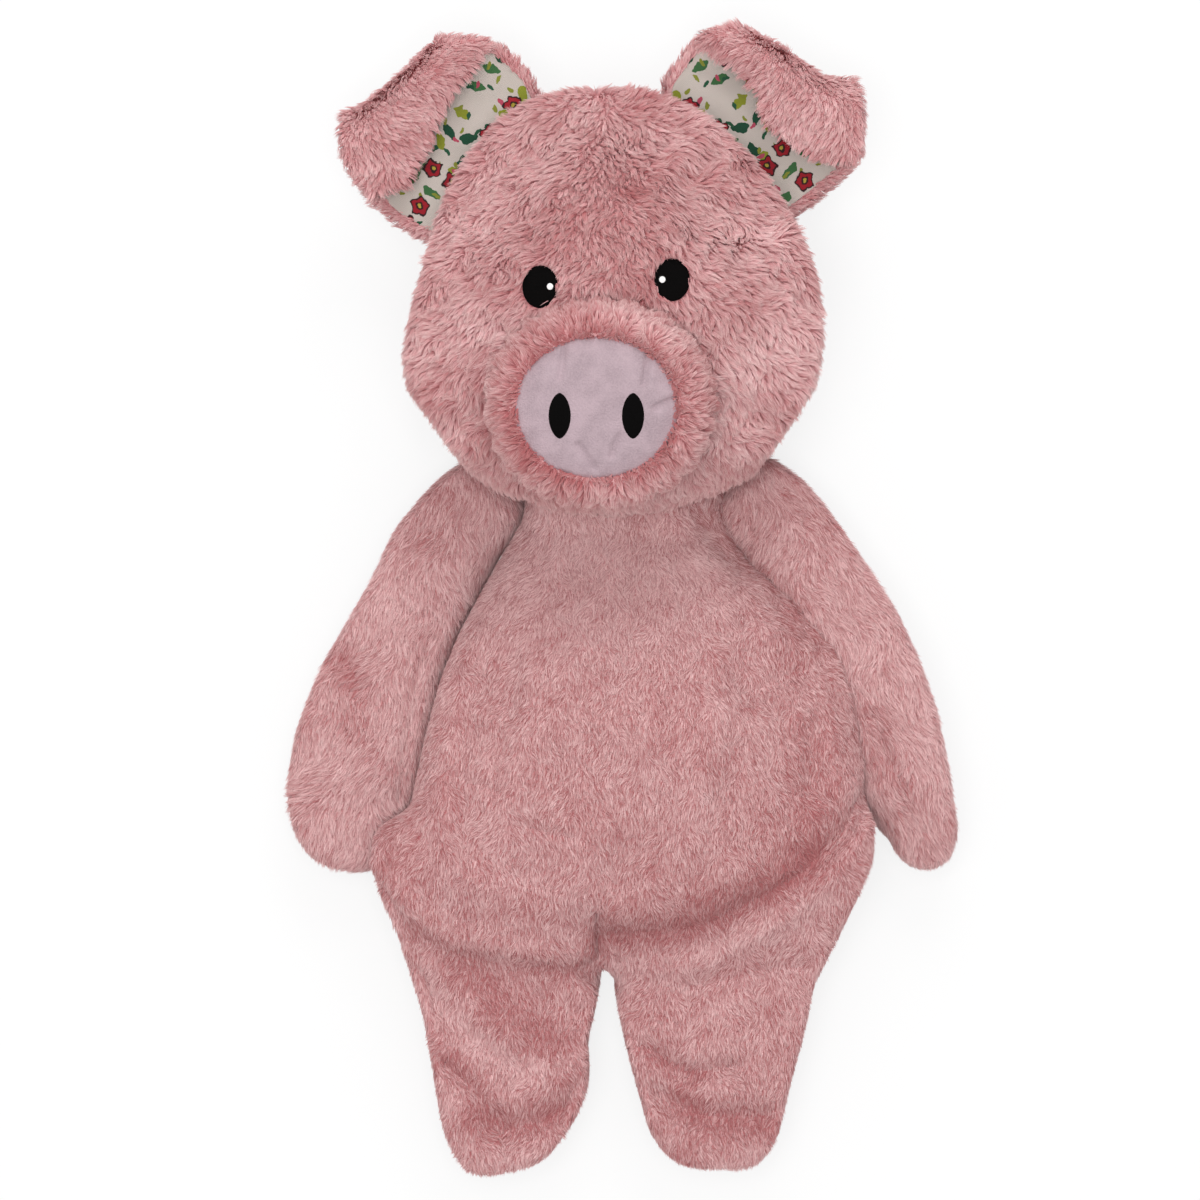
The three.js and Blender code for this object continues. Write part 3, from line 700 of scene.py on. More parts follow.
def node_points(names, low, high, start, end):
    """The points of some CAD nodes between two places along the toy and two across it."""
    points = np.array([point.co for name in names for point in NODES[name].data.vertices])
    inside = (points[:, 1] > low) & (points[:, 1] < high) & (points[:, 0] > start) & (points[:, 0] < end)
    return points[inside]


def add_hull(form, points):
    """Adds the skin drawn tight over some points to a mesh in the making."""
    corners = [form.verts.new(point) for point in points]
    hull = bmesh.ops.convex_hull(form, input=corners)
    spare = dict.fromkeys(item for key in ("geom_interior", "geom_unused") for item in hull[key])
    inner = [item for item in spare if isinstance(item, bmesh.types.BMVert)]
    bmesh.ops.delete(form, geom=inner, context="VERTS")


BESIDE = 7 * MM  # a cover is drawn in less where other nodes are nearer than this
BESIDE_SHARE = 0.12  # the least that it is drawn in there


def cover_of(name, nodes, grain, height, rounds, beside=(), bridges=()):
    """A closed cover over CAD nodes, drawn in by the height of its pile, but less beside other nodes.
    Each bridge is a set of points, and the cover closes over the hollows between them."""
    form = bmesh.new()
    for node in nodes:
        form.from_mesh(NODES[node].data)
    for points in bridges:
        add_hull(form, points)
    bmesh.ops.remove_doubles(form, verts=form.verts, dist=WELD)
    mesh = bpy.data.meshes.new(name)
    form.to_mesh(mesh)
    form.free()
    piece = bpy.data.objects.new(name, mesh)
    bpy.context.scene.collection.objects.link(piece)
    applied(piece, "REMESH", mode="VOXEL", voxel_size=grain, adaptivity=0)
    even = np.ones(len(piece.data.vertices))
    relaxed(piece, even, rounds)
    free = 1.0
    if beside:
        free = np.clip(gap_to(places(piece), beside) / BESIDE, BESIDE_SHARE, 1)[:, None]
    set_places(piece, places(piece) - height * free * normals(piece))
    relaxed(piece, even, rounds)
    return piece


def gap_to(points, nodes):
    """Distances from points to the nearest of some CAD nodes."""
    nearest = np.full(len(points), np.inf)
    for node in nodes:
        mesh = NODES[node].data
        tree = BVHTree.FromPolygons([v.co for v in mesh.vertices], [p.vertices for p in mesh.polygons])
        nearest = np.minimum(nearest, [tree.find_nearest(point)[3] for point in points])
    return nearest


def averager(piece):
    """A function that averages rows of values over the points that edges join to each point of a piece."""
    ends = np.empty(len(piece.data.edges) * 2, np.int32)
    piece.data.edges.foreach_get("vertices", ends)
    first, second = ends.reshape(-1, 2).T
    count = len(piece.data.vertices)
    degree = np.bincount(ends, minlength=count)[:, None]

    def average(values):
        sums = [np.bincount(first, v[second], count) + np.bincount(second, v[first], count) for v in values.T]
        return np.stack(sums, 1) / degree

    return average


EVENING_STEP = 0.5  # how far a round of smoothing goes towards the average


def relaxed(piece, weights, rounds, back=-EVENING_STEP):
    """Smooths a cover where it is weighted. The step back keeps its volume."""
    average, points = averager(piece), places(piece)
    for _ in range(rounds):
        for step in (EVENING_STEP, back):
            points = points + step * weights[:, None] * (average(points) - points)
    set_places(piece, points)


def spread(piece, values, rounds):
    """Evens out values over the points of a cover."""
    average = averager(piece)
    for _ in range(rounds):
        values = (1 - EVENING_STEP) * values + EVENING_STEP * average(values)
    return values


STUFFING_FRAMES = 20  # how long the cloth simulation of a cover runs


def stuffed(piece):
    """Swells a cover with its stuffing, by cloth simulation, and holds each point near where it started."""
    covers = settings("pig_covers")
    start = places(piece)
    select(piece)
    cloth = piece.modifiers.new("Stuffing", "CLOTH")
    cloth.settings.use_pressure = True
    cloth.settings.uniform_pressure_force = covers.soft_pressure
    cloth.settings.shrink_min = -covers.give
    cloth.settings.effector_weights.gravity = 0
    cloth.collision_settings.use_collision = False
    cloth.point_cache.frame_start = 1
    cloth.point_cache.frame_end = STUFFING_FRAMES
    for number in range(1, STUFFING_FRAMES + 1):
        bpy.context.scene.frame_set(number)
    bpy.ops.object.modifier_apply(modifier=cloth.name)
    bpy.context.scene.frame_set(1)
    travel = places(piece) - start
    reach = np.maximum(np.linalg.norm(travel, axis=1), TINY)
    set_places(piece, start + travel * np.minimum(1, covers.swell / reach)[:, None])


def to_line(points, line):
    """Distances in plan from points to a line through places."""
    plan, nearest = points[:, :2], np.full(len(points), np.inf)
    for start, end in zip(line[:-1], line[1:]):
        along = end - start
        where = np.clip((plan - start) @ along / (along @ along), 0, 1)
        nearest = np.minimum(nearest, np.linalg.norm(plan - start - where[:, None] * along, axis=1))
    return nearest


FIT_REACH = 14 * MM  # how far from the outline the side of a cover is still drawn to it
FIT_EVENING = 6  # rounds in which a move is spread over the points around
FIT_LEAST = 0.25  # the least weight that a spread move is divided by
FIT_SMOOTHING = 3  # rounds


def fitted(piece, line, pile, rounds=3):
    """Moves the side of a cover out or in to a line in plan, less the pile that stands on it. The cover
    lies to the right of someone who goes along the line."""
    starts, ends = line[:-1], line[1:]
    along = ends - starts
    lengths = np.linalg.norm(along, axis=1)
    outward = np.stack((-along[:, 1], along[:, 0]), 1) / lengths[:, None]
    for _ in range(rounds):
        points, out = places(piece), normals(piece)[:, :2]
        pick = np.arange(len(points))
        where = ((points[:, None, :2] - starts) * along).sum(2) / lengths**2
        on_line = starts + np.clip(where, 0, 1)[:, :, None] * along
        gaps = np.linalg.norm(points[:, None, :2] - on_line, axis=2)
        nearest = gaps.argmin(1)
        away, at = outward[nearest], where[pick, nearest]
        ahead = ((on_line[pick, nearest] - points[:, :2]) * away).sum(1) - pile
        past_end = ((at < 0) & (nearest == 0)) | ((at > 1) & (nearest == len(along) - 1))
        facing = np.linalg.norm(out, axis=1)
        turned_out = np.clip(((out / np.maximum(facing, WELD)[:, None]) * away).sum(1) * 2 - 0.6, 0, 1)
        weight = facing**2 * turned_out * ~past_end * (gaps[pick, nearest] < FIT_REACH)
        move = np.concatenate((away * (ahead * weight)[:, None], weight[:, None]), 1)
        move = spread(piece, move, FIT_EVENING)
        points[:, :2] += move[:, :2] / np.maximum(move[:, 2:], FIT_LEAST)
        set_places(piece, points)
    relaxed(piece, np.ones(len(points)), FIT_SMOOTHING)


RIM_TOP, RIM_BAND = 11 * MM, 6 * MM  # where the rounding of a flat back's rim ends, and over what height
RIM_ROUNDS = 12
COVER_FLOOR = 0.4 * MM


def rounded_below(piece):
    """Rounds the rim of a cover's flat back."""
    heights = places(piece)[:, 2]
    relaxed(piece, np.clip((RIM_TOP - heights) / RIM_BAND, 0, 1), RIM_ROUNDS, back=EVENING_STEP)


def grounded(piece):
    """Presses flat what has sunk below the floor, which the toy lies on."""
    points = places(piece)
    points[:, 2] = np.maximum(points[:, 2], COVER_FLOOR)
    set_places(piece, points)


def frontness(out):
    """1 where an outward direction faces the front, down to 0 at the sides and behind."""
    return np.clip(out[:, 2] * 2, 0, 1)


def creased(piece, line, depth, width):
    """Presses a crease into the front of a cover along a line."""
    points, out = places(piece), normals(piece)
    press = -depth * bell(to_line(points, line) / width)
    set_places(piece, points + out * (press * frontness(out))[:, None])


@dataclass
class Nap:
    """How the pile of a cover stands: lengths in metres, angles in radians, hairs to a square metre."""

    length: float
    lean: float
    width: float
    density: float
    seed: int
    tuft: int = 12  # hairs to a tuft
    gather: float = 0.65  # how far the tips of a tuft draw together
    swirl: float = 0.6  # how far the tufts turn from the flow
    swirl_size: float = 0.016
    hidden: float = 0.35  # how dense the hairs are on the back, next to the front
    speckle: float = 0.28  # how much the tone changes from hair to hair
    blotches: float = 0.15  # how much it changes over large patches
    roll: float = 1.1  # how far the hairs roll about their own length
    layers: float = 0.0  # the depth in which flat hairs lie in layers, or 0 where they bend and stand


def drift(points, size, seed, count=14, gain=2.4):
    """Smooth noise over points, from about -1 to 1, with features of a size: the mean of some waves, times
    a gain."""
    random = np.random.default_rng(seed)
    waves = random.normal(size=(count, 3)) * (math.pi / size)
    return np.sin(points @ waves.T + random.random(count) * 2 * math.pi).mean(1) * gain


EVEN_STEPS = np.array([0.7548776662, 0.5698402910])  # steps that fill a square evenly


def scattered_roots(cover, nap, random):
    """Places spread evenly over a cover, thinner on its back, with their outward directions."""
    cover.data.calc_loop_triangles()
    corners = np.empty(len(cover.data.loop_triangles) * 3, np.int32)
    cover.data.loop_triangles.foreach_get("vertices", corners)
    corners = corners.reshape(-1, 3)
    points, out = places(cover), normals(cover)
    first, second, third = (points[corners[:, i]] for i in range(3))
    areas = np.linalg.norm(np.cross(second - first, third - first), axis=1) / 2
    facing = out[corners].mean(1)[:, 2]
    thin = nap.hidden + (1 - nap.hidden) * np.clip(facing * 2.5 + 1.2, 0, 1)
    sums = np.cumsum(areas * thin)
    order = np.arange(int(sums[-1] * nap.density))
    chosen = np.searchsorted(sums, (order + random.random(len(order))) / len(order) * sums[-1])
    chosen = np.minimum(chosen, len(corners) - 1)
    square = (0.5 + order[:, None] * EVEN_STEPS) % 1
    root = np.sqrt(square[:, 0])
    shares = np.stack((1 - root, root * (1 - square[:, 1]), root * square[:, 1]), 1)[:, :, None]
    at, way = ((values[corners[chosen]] * shares).sum(1) for values in (points, out))
    return at, unit(way), thin[chosen]


def nearest_tufts(roots, tuft):
    """For each hair, the number of the hair at the middle of its tuft."""
    middles = np.arange(tuft // 2, len(roots), tuft)
    tree = KDTree(len(middles))
    for middle in middles:
        tree.insert(roots[middle], int(middle))
    tree.balance()
    return np.array([tree.find(root)[1] for root in roots])


def laid(ways, out):
    """Directions laid flat on a surface, given its outward directions."""
    return unit(ways - out * (ways * out).sum(1)[:, None])


def turned(ways, about, angles):
    """Directions turned by angles about others that are square to them."""
    return ways * np.cos(angles)[:, None] + np.cross(about, ways) * np.sin(angles)[:, None]


ROOT_DEPTH = 0.3 * MM  # how far a hair's root goes into the cloth
PILE_FLOOR = 0.3 * MM
BLOTCHES = ((22 * MM, 7), (7 * MM, 8))  # sizes, and what is added to the seed for each
BEND_SHARE = 0.45  # how far along a hair its bend is
CLEARINGS = 5  # how often a hair that reaches where none may be is cut shorter


def hairs(cover, nap, flow, clear=None, flush=None):
    """Hairs on a cover: roots, bends, tips, half widths across, tones and outward directions, and how far up
    the colours of a hair its root already is."""
    random = np.random.default_rng(nap.seed)
    roots, out, thin = scattered_roots(cover, nap, random)
    count = len(roots)
    middle = nearest_tufts(roots, nap.tuft)
    turns, leans, reaches, shades = random.random((4, count))[:, middle]

    def jitter():
        return random.random(count) - 0.5

    swing = nap.swirl * drift(roots[middle], nap.swirl_size, nap.seed) + 0.5 * (turns - 0.5)
    swing += 0.5 * jitter()
    way = turned(laid(flow(roots), out), out, swing)
    # Towards the toy's outline the hairs lie down, so that none shows its underside from the front
    edge = np.clip((0.6 - out[:, 2]) / 0.4, 0, 1)
    way[:, 2] = np.where(way[:, 2] > 0, way[:, 2] * (1 - edge), way[:, 2]) - 0.3 * edge
    way = laid(way, out)
    uneven = jitter()
    lift = random.random(count) * (nap.layers > 0)
    reach = nap.length * (0.75 + 0.35 * reaches + 0.2 * jitter())

    def stand(angle, share):
        """The way from one end of a stretch of hair to the other, where it leans at an angle."""
        return (out * np.cos(angle)[:, None] + way * np.sin(angle)[:, None]) * (reach * share)[:, None]

    if nap.layers:
        lean = nap.lean * (0.95 + 0.08 * leans)
        bend = roots + stand(lean, BEND_SHARE)
        tips = roots + stand(lean, 1)
    else:
        lean = nap.lean * (0.8 + 0.3 * leans + 0.12 * uneven)
        bend = roots + stand(lean * 0.45, BEND_SHARE)
        tips = bend + stand(lean * 1.1, 0.55)
    pull = nap.gather * (tips[middle] + 0.12 * (roots - roots[middle]) - tips)
    tips, bend = tips + pull, bend + 0.35 * pull
    tones = 0.5 + 0.3 * (shades - 0.5) + nap.speckle * jitter()
    large, small = (drift(roots, size, nap.seed + step) for size, step in BLOTCHES)
    tones += nap.blotches * large + 0.1 * small
    # Painted shade darkens the tones along creases and in shaded places, and where the amount is negative, painted
    # light makes them paler.
    if flush is not None:
        tones -= flush(roots)
    raised = (lift * nap.layers)[:, None] * out
    roots, bend, tips = roots + raised - ROOT_DEPTH * out, bend + raised, tips + raised
    keep = np.ones(count, bool)
    if clear is not None:
        for _ in range(CLEARINGS):
            over = clear(tips)
            tips[over] = roots[over] + 0.6 * (tips - roots)[over]
            bend[over] = roots[over] + 0.7 * (bend - roots)[over]
        keep = ~clear(tips) & ~clear(roots)
    roll = nap.roll * (1 - 0.7 * edge) * jitter()
    broadside = out + np.array([0, 0, 1.0]) * (out[:, 2:] > -0.4)
    across = turned(unit(np.cross(tips - roots, broadside)), unit(tips - roots), roll)
    wide = nap.width / 2 / np.sqrt(thin) * (0.75 + 0.5 * random.random(count))
    floor = np.array([-np.inf, -np.inf, PILE_FLOOR])
    parts = [np.maximum(part, floor) for part in (roots, bend, tips)]
    strands = (*parts, across * wide[:, None], np.clip(tones, 0.02, 0.98), out, 0.5 * lift)
    return tuple(values[keep] for values in strands)


TRIANGLES_TO_A_PIECE = 195000
TIP_GLOW = 0.55  # how far the ends of the hairs, which let light through, are lit as if they faced up
CLOTH_LIGHT, FACE_LIGHT = 0.85, 0.3  # how far a hair is lit as the cloth under it, and as its own face


def pile_piece(name, strands, straight):
    """One mesh of flat tapering hairs: one triangle each where straight, or else three."""
    roots, bend, tips, across, tones, out, low = strands
    count = len(roots)
    faces = unit(np.cross(across, tips - roots))
    light = CLOTH_LIGHT * out + FACE_LIGHT * faces
    if straight:
        points = np.stack((roots - across, roots + across, tips), 1)
        pattern, up = np.array([0, 1, 2]), np.array([0.0, 0.0, 1.0])
    else:
        waist = across * 0.8
        points = np.stack((roots - across, roots + across, bend - waist, bend + waist, tips), 1)
        pattern, up = np.array([0, 1, 3, 0, 3, 2, 2, 3, 4]), np.array([0.0, 0.0, 0.5, 0.5, 1.0])
    corners = (np.arange(count)[:, None] * len(up) + pattern).ravel()
    mesh = bpy.data.meshes.new(name)
    mesh.vertices.add(count * len(up))
    mesh.vertices.foreach_set("co", points.ravel())
    mesh.loops.add(len(corners))
    mesh.loops.foreach_set("vertex_index", corners)
    mesh.polygons.add(len(corners) // 3)
    mesh.polygons.foreach_set("loop_start", np.arange(len(corners) // 3) * 3)
    mesh.polygons.foreach_set("use_smooth", np.ones(len(corners) // 3, bool))
    share = low[:, None] + (1 - low[:, None]) * up[pattern]
    uv = np.stack((np.repeat(tones, len(pattern)), share.ravel()), 1)
    mesh.uv_layers.new(name=PILE_UV).data.foreach_set("uv", uv.ravel().astype(np.float32))
    mesh.update()
    skyward = np.tile(up, count)[:, None] * np.array([0, 0, TIP_GLOW])
    mesh.normals_split_custom_set_from_vertices(unit(np.repeat(light, len(up), axis=0) + skyward))
    piece = bpy.data.objects.new(name, mesh)
    bpy.context.scene.collection.objects.link(piece)
    return piece


def grow(name, strands, slot, hold, straight=False):
    """Pile pieces of a cover, each small enough for one mesh, held as the cover is."""
    triangles = len(strands[0]) * (1 if straight else 3)
    lots = max(1, math.ceil(triangles / TRIANGLES_TO_A_PIECE))
    for lot in range(lots):
        part = tuple(values[lot::lots] for values in strands)
        piece = pile_piece(f"{name}_{lot + 1}", part, straight)
        piece.data.materials.append(short_pile() if straight else long_pile())
        hold(piece)
        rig.slot(piece, slot)


def dress(piece, finish, slot, hold, *nodes, fill=None):
    """Gives a piece its finish, its body and the CAD nodes that it stands for."""
    piece.data.materials.clear()
    piece.data.materials.append(finish)
    smooth_shaded(piece)
    hold(piece)
    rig.slot(piece, slot)
    if nodes:
        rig.replaces(piece, *nodes)
    if fill is not None:
        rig.padded(piece, fill)


def riding(body):
    """Holds a piece on one body."""
    return lambda piece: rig.ride(piece, body)


def bending(side):
    """Holds a piece on the torso, turning over to a leg at the hip."""
    covers = settings("pig_covers")
    start, end = (0, -covers.hip_start, 0), (0, -covers.hip_end, 0)
    return lambda piece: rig.blend(piece, "torso", f"{side}_leg", start=start, end=end)


def panels(name):
    """The CAD nodes of a stuffed part: its two panels and its fill."""
    return [f"{name}_front_panel", f"{name}_back_panel", f"{name}_fill"]


def downward(points):
    """Pile that lies towards the feet, and a little apart from the middle."""
    half_width = 90 * MM
    apart = (points[:, 0] / half_width) ** 3
    return np.stack((0.4 * np.clip(apart, -1, 1), -np.ones(len(points)), np.full(len(points), -0.25)), 1)


CROWN_PIXEL = (596, 92)


def from_crown(points):
    """Pile of the head, which parts at the crown and lies down and outwards."""
    away = (points[:, :2] - from_photo([CROWN_PIXEL])[0]) * np.array([1.35, 1.0])
    away = away / np.maximum(np.linalg.norm(away, axis=1), 2 * MM)[:, None]
    return np.stack((away[:, 0], away[:, 1] - 0.2, np.full(len(points), -0.2)), 1)


def base_nap(length, seed, **changes):
    """Pile of a length, with the lean and thickness that all covers share where nothing else is said."""
    pile = settings("pig_pile")
    nap = Nap(length=length, lean=pile.lean, width=pile.thickness, density=5e6, seed=seed)
    return replace(nap, **changes)


def node_oval(node):
    """Middle and half sizes, in plan, of a CAD node."""
    low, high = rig.box(node)
    return (np.array(low) + np.array(high))[:2] / 2, (np.array(high) - np.array(low))[:2] / 2


def within(ovals, points, scale=1.0):
    """Which points lie inside any of some ovals, in plan."""
    inside = np.zeros(len(points), bool)
    for middle, half in ovals:
        inside |= (((points[:, :2] - middle) / (half * scale)) ** 2).sum(1) < 1
    return inside


# The toy's outline in pixels of the photograph, clockwise, and the height at which each cover is widest
OUTLINES = {
    "body": (
        18 * MM,
        [
            [(470, 1172), (455, 1155), (443, 1130), (434, 1080), (423, 1015), (412, 980), (397, 930),
             (376, 880), (374, 835)],
            [(870, 815), (873, 855), (840, 930), (814, 985), (805, 1030), (791, 1080), (780, 1130),
             (765, 1158), (745, 1168)],
            [(738, 1168), (690, 1167), (665, 1155), (648, 1130), (634, 1080), (621, 1030), (614, 990)],
            [(601, 985), (596, 1012), (589, 1040), (591, 1080), (583, 1105), (569, 1130), (545, 1160),
             (510, 1172), (480, 1174)],
        ],
    ),
    "right_arm": (
        13 * MM,
        [
            [(392, 855), (372, 873), (335, 870), (308, 855), (293, 830), (286, 790), (296, 730), (315, 680),
             (327, 655), (345, 625), (371, 580), (394, 530), (414, 505), (437, 480), (460, 462)],
        ],
    ),
    "left_arm": (
        14 * MM,
        [
            [(772, 457), (804, 480), (825, 505), (860, 555), (893, 605), (916, 655), (934, 705), (945, 755),
             (957, 830), (950, 858), (930, 870), (906, 866), (894, 850)],
        ],
    ),
    "head": (
        40 * MM,
        [
            [(462, 462), (432, 420), (408, 385), (406, 355), (416, 305), (430, 255), (440, 215), (463, 168),
             (498, 124), (540, 101), (575, 93), (630, 93), (670, 102), (714, 126), (752, 163), (782, 206),
             (807, 255), (819, 305), (820, 345), (814, 385), (795, 415), (766, 458)],
        ],
    ),
}


def fit_outline(piece, cover, pile):
    """Fits the sides of a cover to its stretches of the photographed outline."""
    height, lines = OUTLINES[cover]
    for line in lines:
        fitted(piece, from_photo(line, height), pile)


# Where the belly hangs over the legs, in pixels: a long valley on one side and a soft ledge on the other.
# Each is made of swells, in millimetres: how high, how far above the valley or below the ledge, and how wide
BELLY_VALLEY = [(600, 942), (650, 940), (700, 933), (763, 900), (802, 873), (840, 836), (866, 795)]
VALLEY_SWELLS = ((-4.0, 0, 5.5), (1.8, -9, 4.5), (1.5, 14, 8))
BELLY_LEDGE = [(380, 880), (412, 925), (450, 950), (508, 962), (563, 968), (600, 962)]
LEDGE_SWELLS = ((2.2, -5, 5), (-2.8, 3, 5))
# Lines of the photograph along which shade is painted into the pile, in its creases and valleys, how much, and their
# widths in millimetres. A negative amount paints light, on a ridge, and on the chest where the chin's shadow falls
BODY_PAINTED_SHADE = (
    ([(603, 938), (671, 934), (723, 905), (767, 886), (808, 859)], 0.42, 8),
    ([(620, 962), (688, 950), (757, 931), (826, 903)], -0.2, 5),
    ([(469, 979), (493, 1003), (531, 1030), (551, 1040)], 0.34, 8.5),
    ([(431, 986), (466, 1037), (493, 1056), (535, 1070)], -0.22, 5.5),
    ([(449, 1061), (476, 1088), (486, 1109)], 0.32, 4.5),
    ([(479, 1126), (517, 1133), (558, 1117)], 0.34, 6),
    ([(473, 1162), (534, 1158)], -0.15, 4),
    ([(644, 1054), (671, 1068), (705, 1078)], 0.34, 2.6),
    ([(678, 1099), (706, 1121), (771, 1128)], 0.36, 6),
    ([(715, 1165), (768, 1155)], -0.15, 4),
    ([(517, 962), (572, 970)], 0.2, 3),
    ([(420, 925), (450, 960)], 0.16, 6),
    ([(706, 520), (748, 562)], 0.32, 6),
    ([(775, 600), (812, 640)], 0.2, 9),
    ([(812, 735), (815, 800), (805, 840)], 0.24, 9),
    ([(385, 800), (392, 860)], 0.2, 8),
    ([(420, 600), (400, 740)], 0.12, 7),
    ([(570, 560), (670, 560)], -0.26, 26),
)
# The same for the arms: shade is painted in the crook of the elbow, along the seam crease and at the shoulder, and
# light is painted over the whole arm where the amount is negative.
ARM_PAINTED_SHADE = {
    "right": (
        ([(345, 662), (358, 720)], 0.3, 7),
        ([(440, 500), (420, 540)], 0.15, 8),
        ([(400, 600), (340, 800)], -0.14, 60),
    ),
    "left": (
        ([(870, 720), (905, 800)], 0.2, 7),
        ([(800, 490), (830, 530)], 0.12, 8),
        ([(860, 600), (920, 800)], -0.14, 60),
    ),
}
# Creases, with their depths and widths in millimetres
BODY_CREASES = (
    ([(597, 915), (601, 958)], 3.0, 1.6),
    ([(703, 505), (714, 532), (748, 562)], 3.2, 6),
    ([(775, 600), (812, 635)], 2.6, 6),
    ([(828, 690), (812, 735), (808, 785)], 2.2, 5),
    ([(418, 985), (455, 1030), (505, 1068)], 4.2, 6),
    ([(475, 985), (530, 1000), (580, 1020)], 2.4, 8),
    ([(440, 1066), (470, 1088), (490, 1118)], 3.6, 4),
    ([(500, 1134), (545, 1124), (585, 1098)], 4.6, 5.5),
    ([(645, 1050), (690, 1074), (735, 1068)], 3.8, 3.2),
    ([(655, 1098), (705, 1118), (768, 1120)], 4.8, 5),
    ([(690, 990), (740, 978), (800, 968)], 2.2, 4),
    ([(410, 765), (450, 772), (500, 790)], 1.2, 1.8),
    ([(520, 822), (570, 834)], 1.0, 1.8),
    ([(745, 742), (780, 790), (803, 850)], 1.4, 2.6),
    ([(745, 692), (785, 675), (822, 664)], 2.0, 3),
    ([(560, 690), (600, 708), (640, 712)], 0.9, 2),
)
ARM_CREASES = {
    "right": (
        ([(430, 640), (418, 668), (404, 747), (398, 800)], 1.2, 1.4),
        ([(325, 655), (348, 668), (360, 700)], 2.2, 6),
        ([(318, 800), (352, 812), (385, 800)], 1.0, 5),
    ),
    "left": (
        ([(872, 715), (878, 737), (903, 781), (911, 825), (913, 868)], 2.4, 1.8),
        ([(862, 575), (880, 600), (905, 610)], 1.2, 5),
    ),
}
PAINTED_SHADE_FLOOR = 12 * MM  # shade is painted into the pile above this height only


def painted_shading(lines):
    """How much shade is painted into the pile on the front along some lines of the photograph, with painted light
    where the amount is negative.
    """
    placed = [(from_photo(line), depth, width * MM) for line, depth, width in lines]

    def flush(points):
        total = sum(depth * bell(to_line(points, line) / width) for line, depth, width in placed)
        return total * (points[:, 2] > PAINTED_SHADE_FLOOR)

    return flush


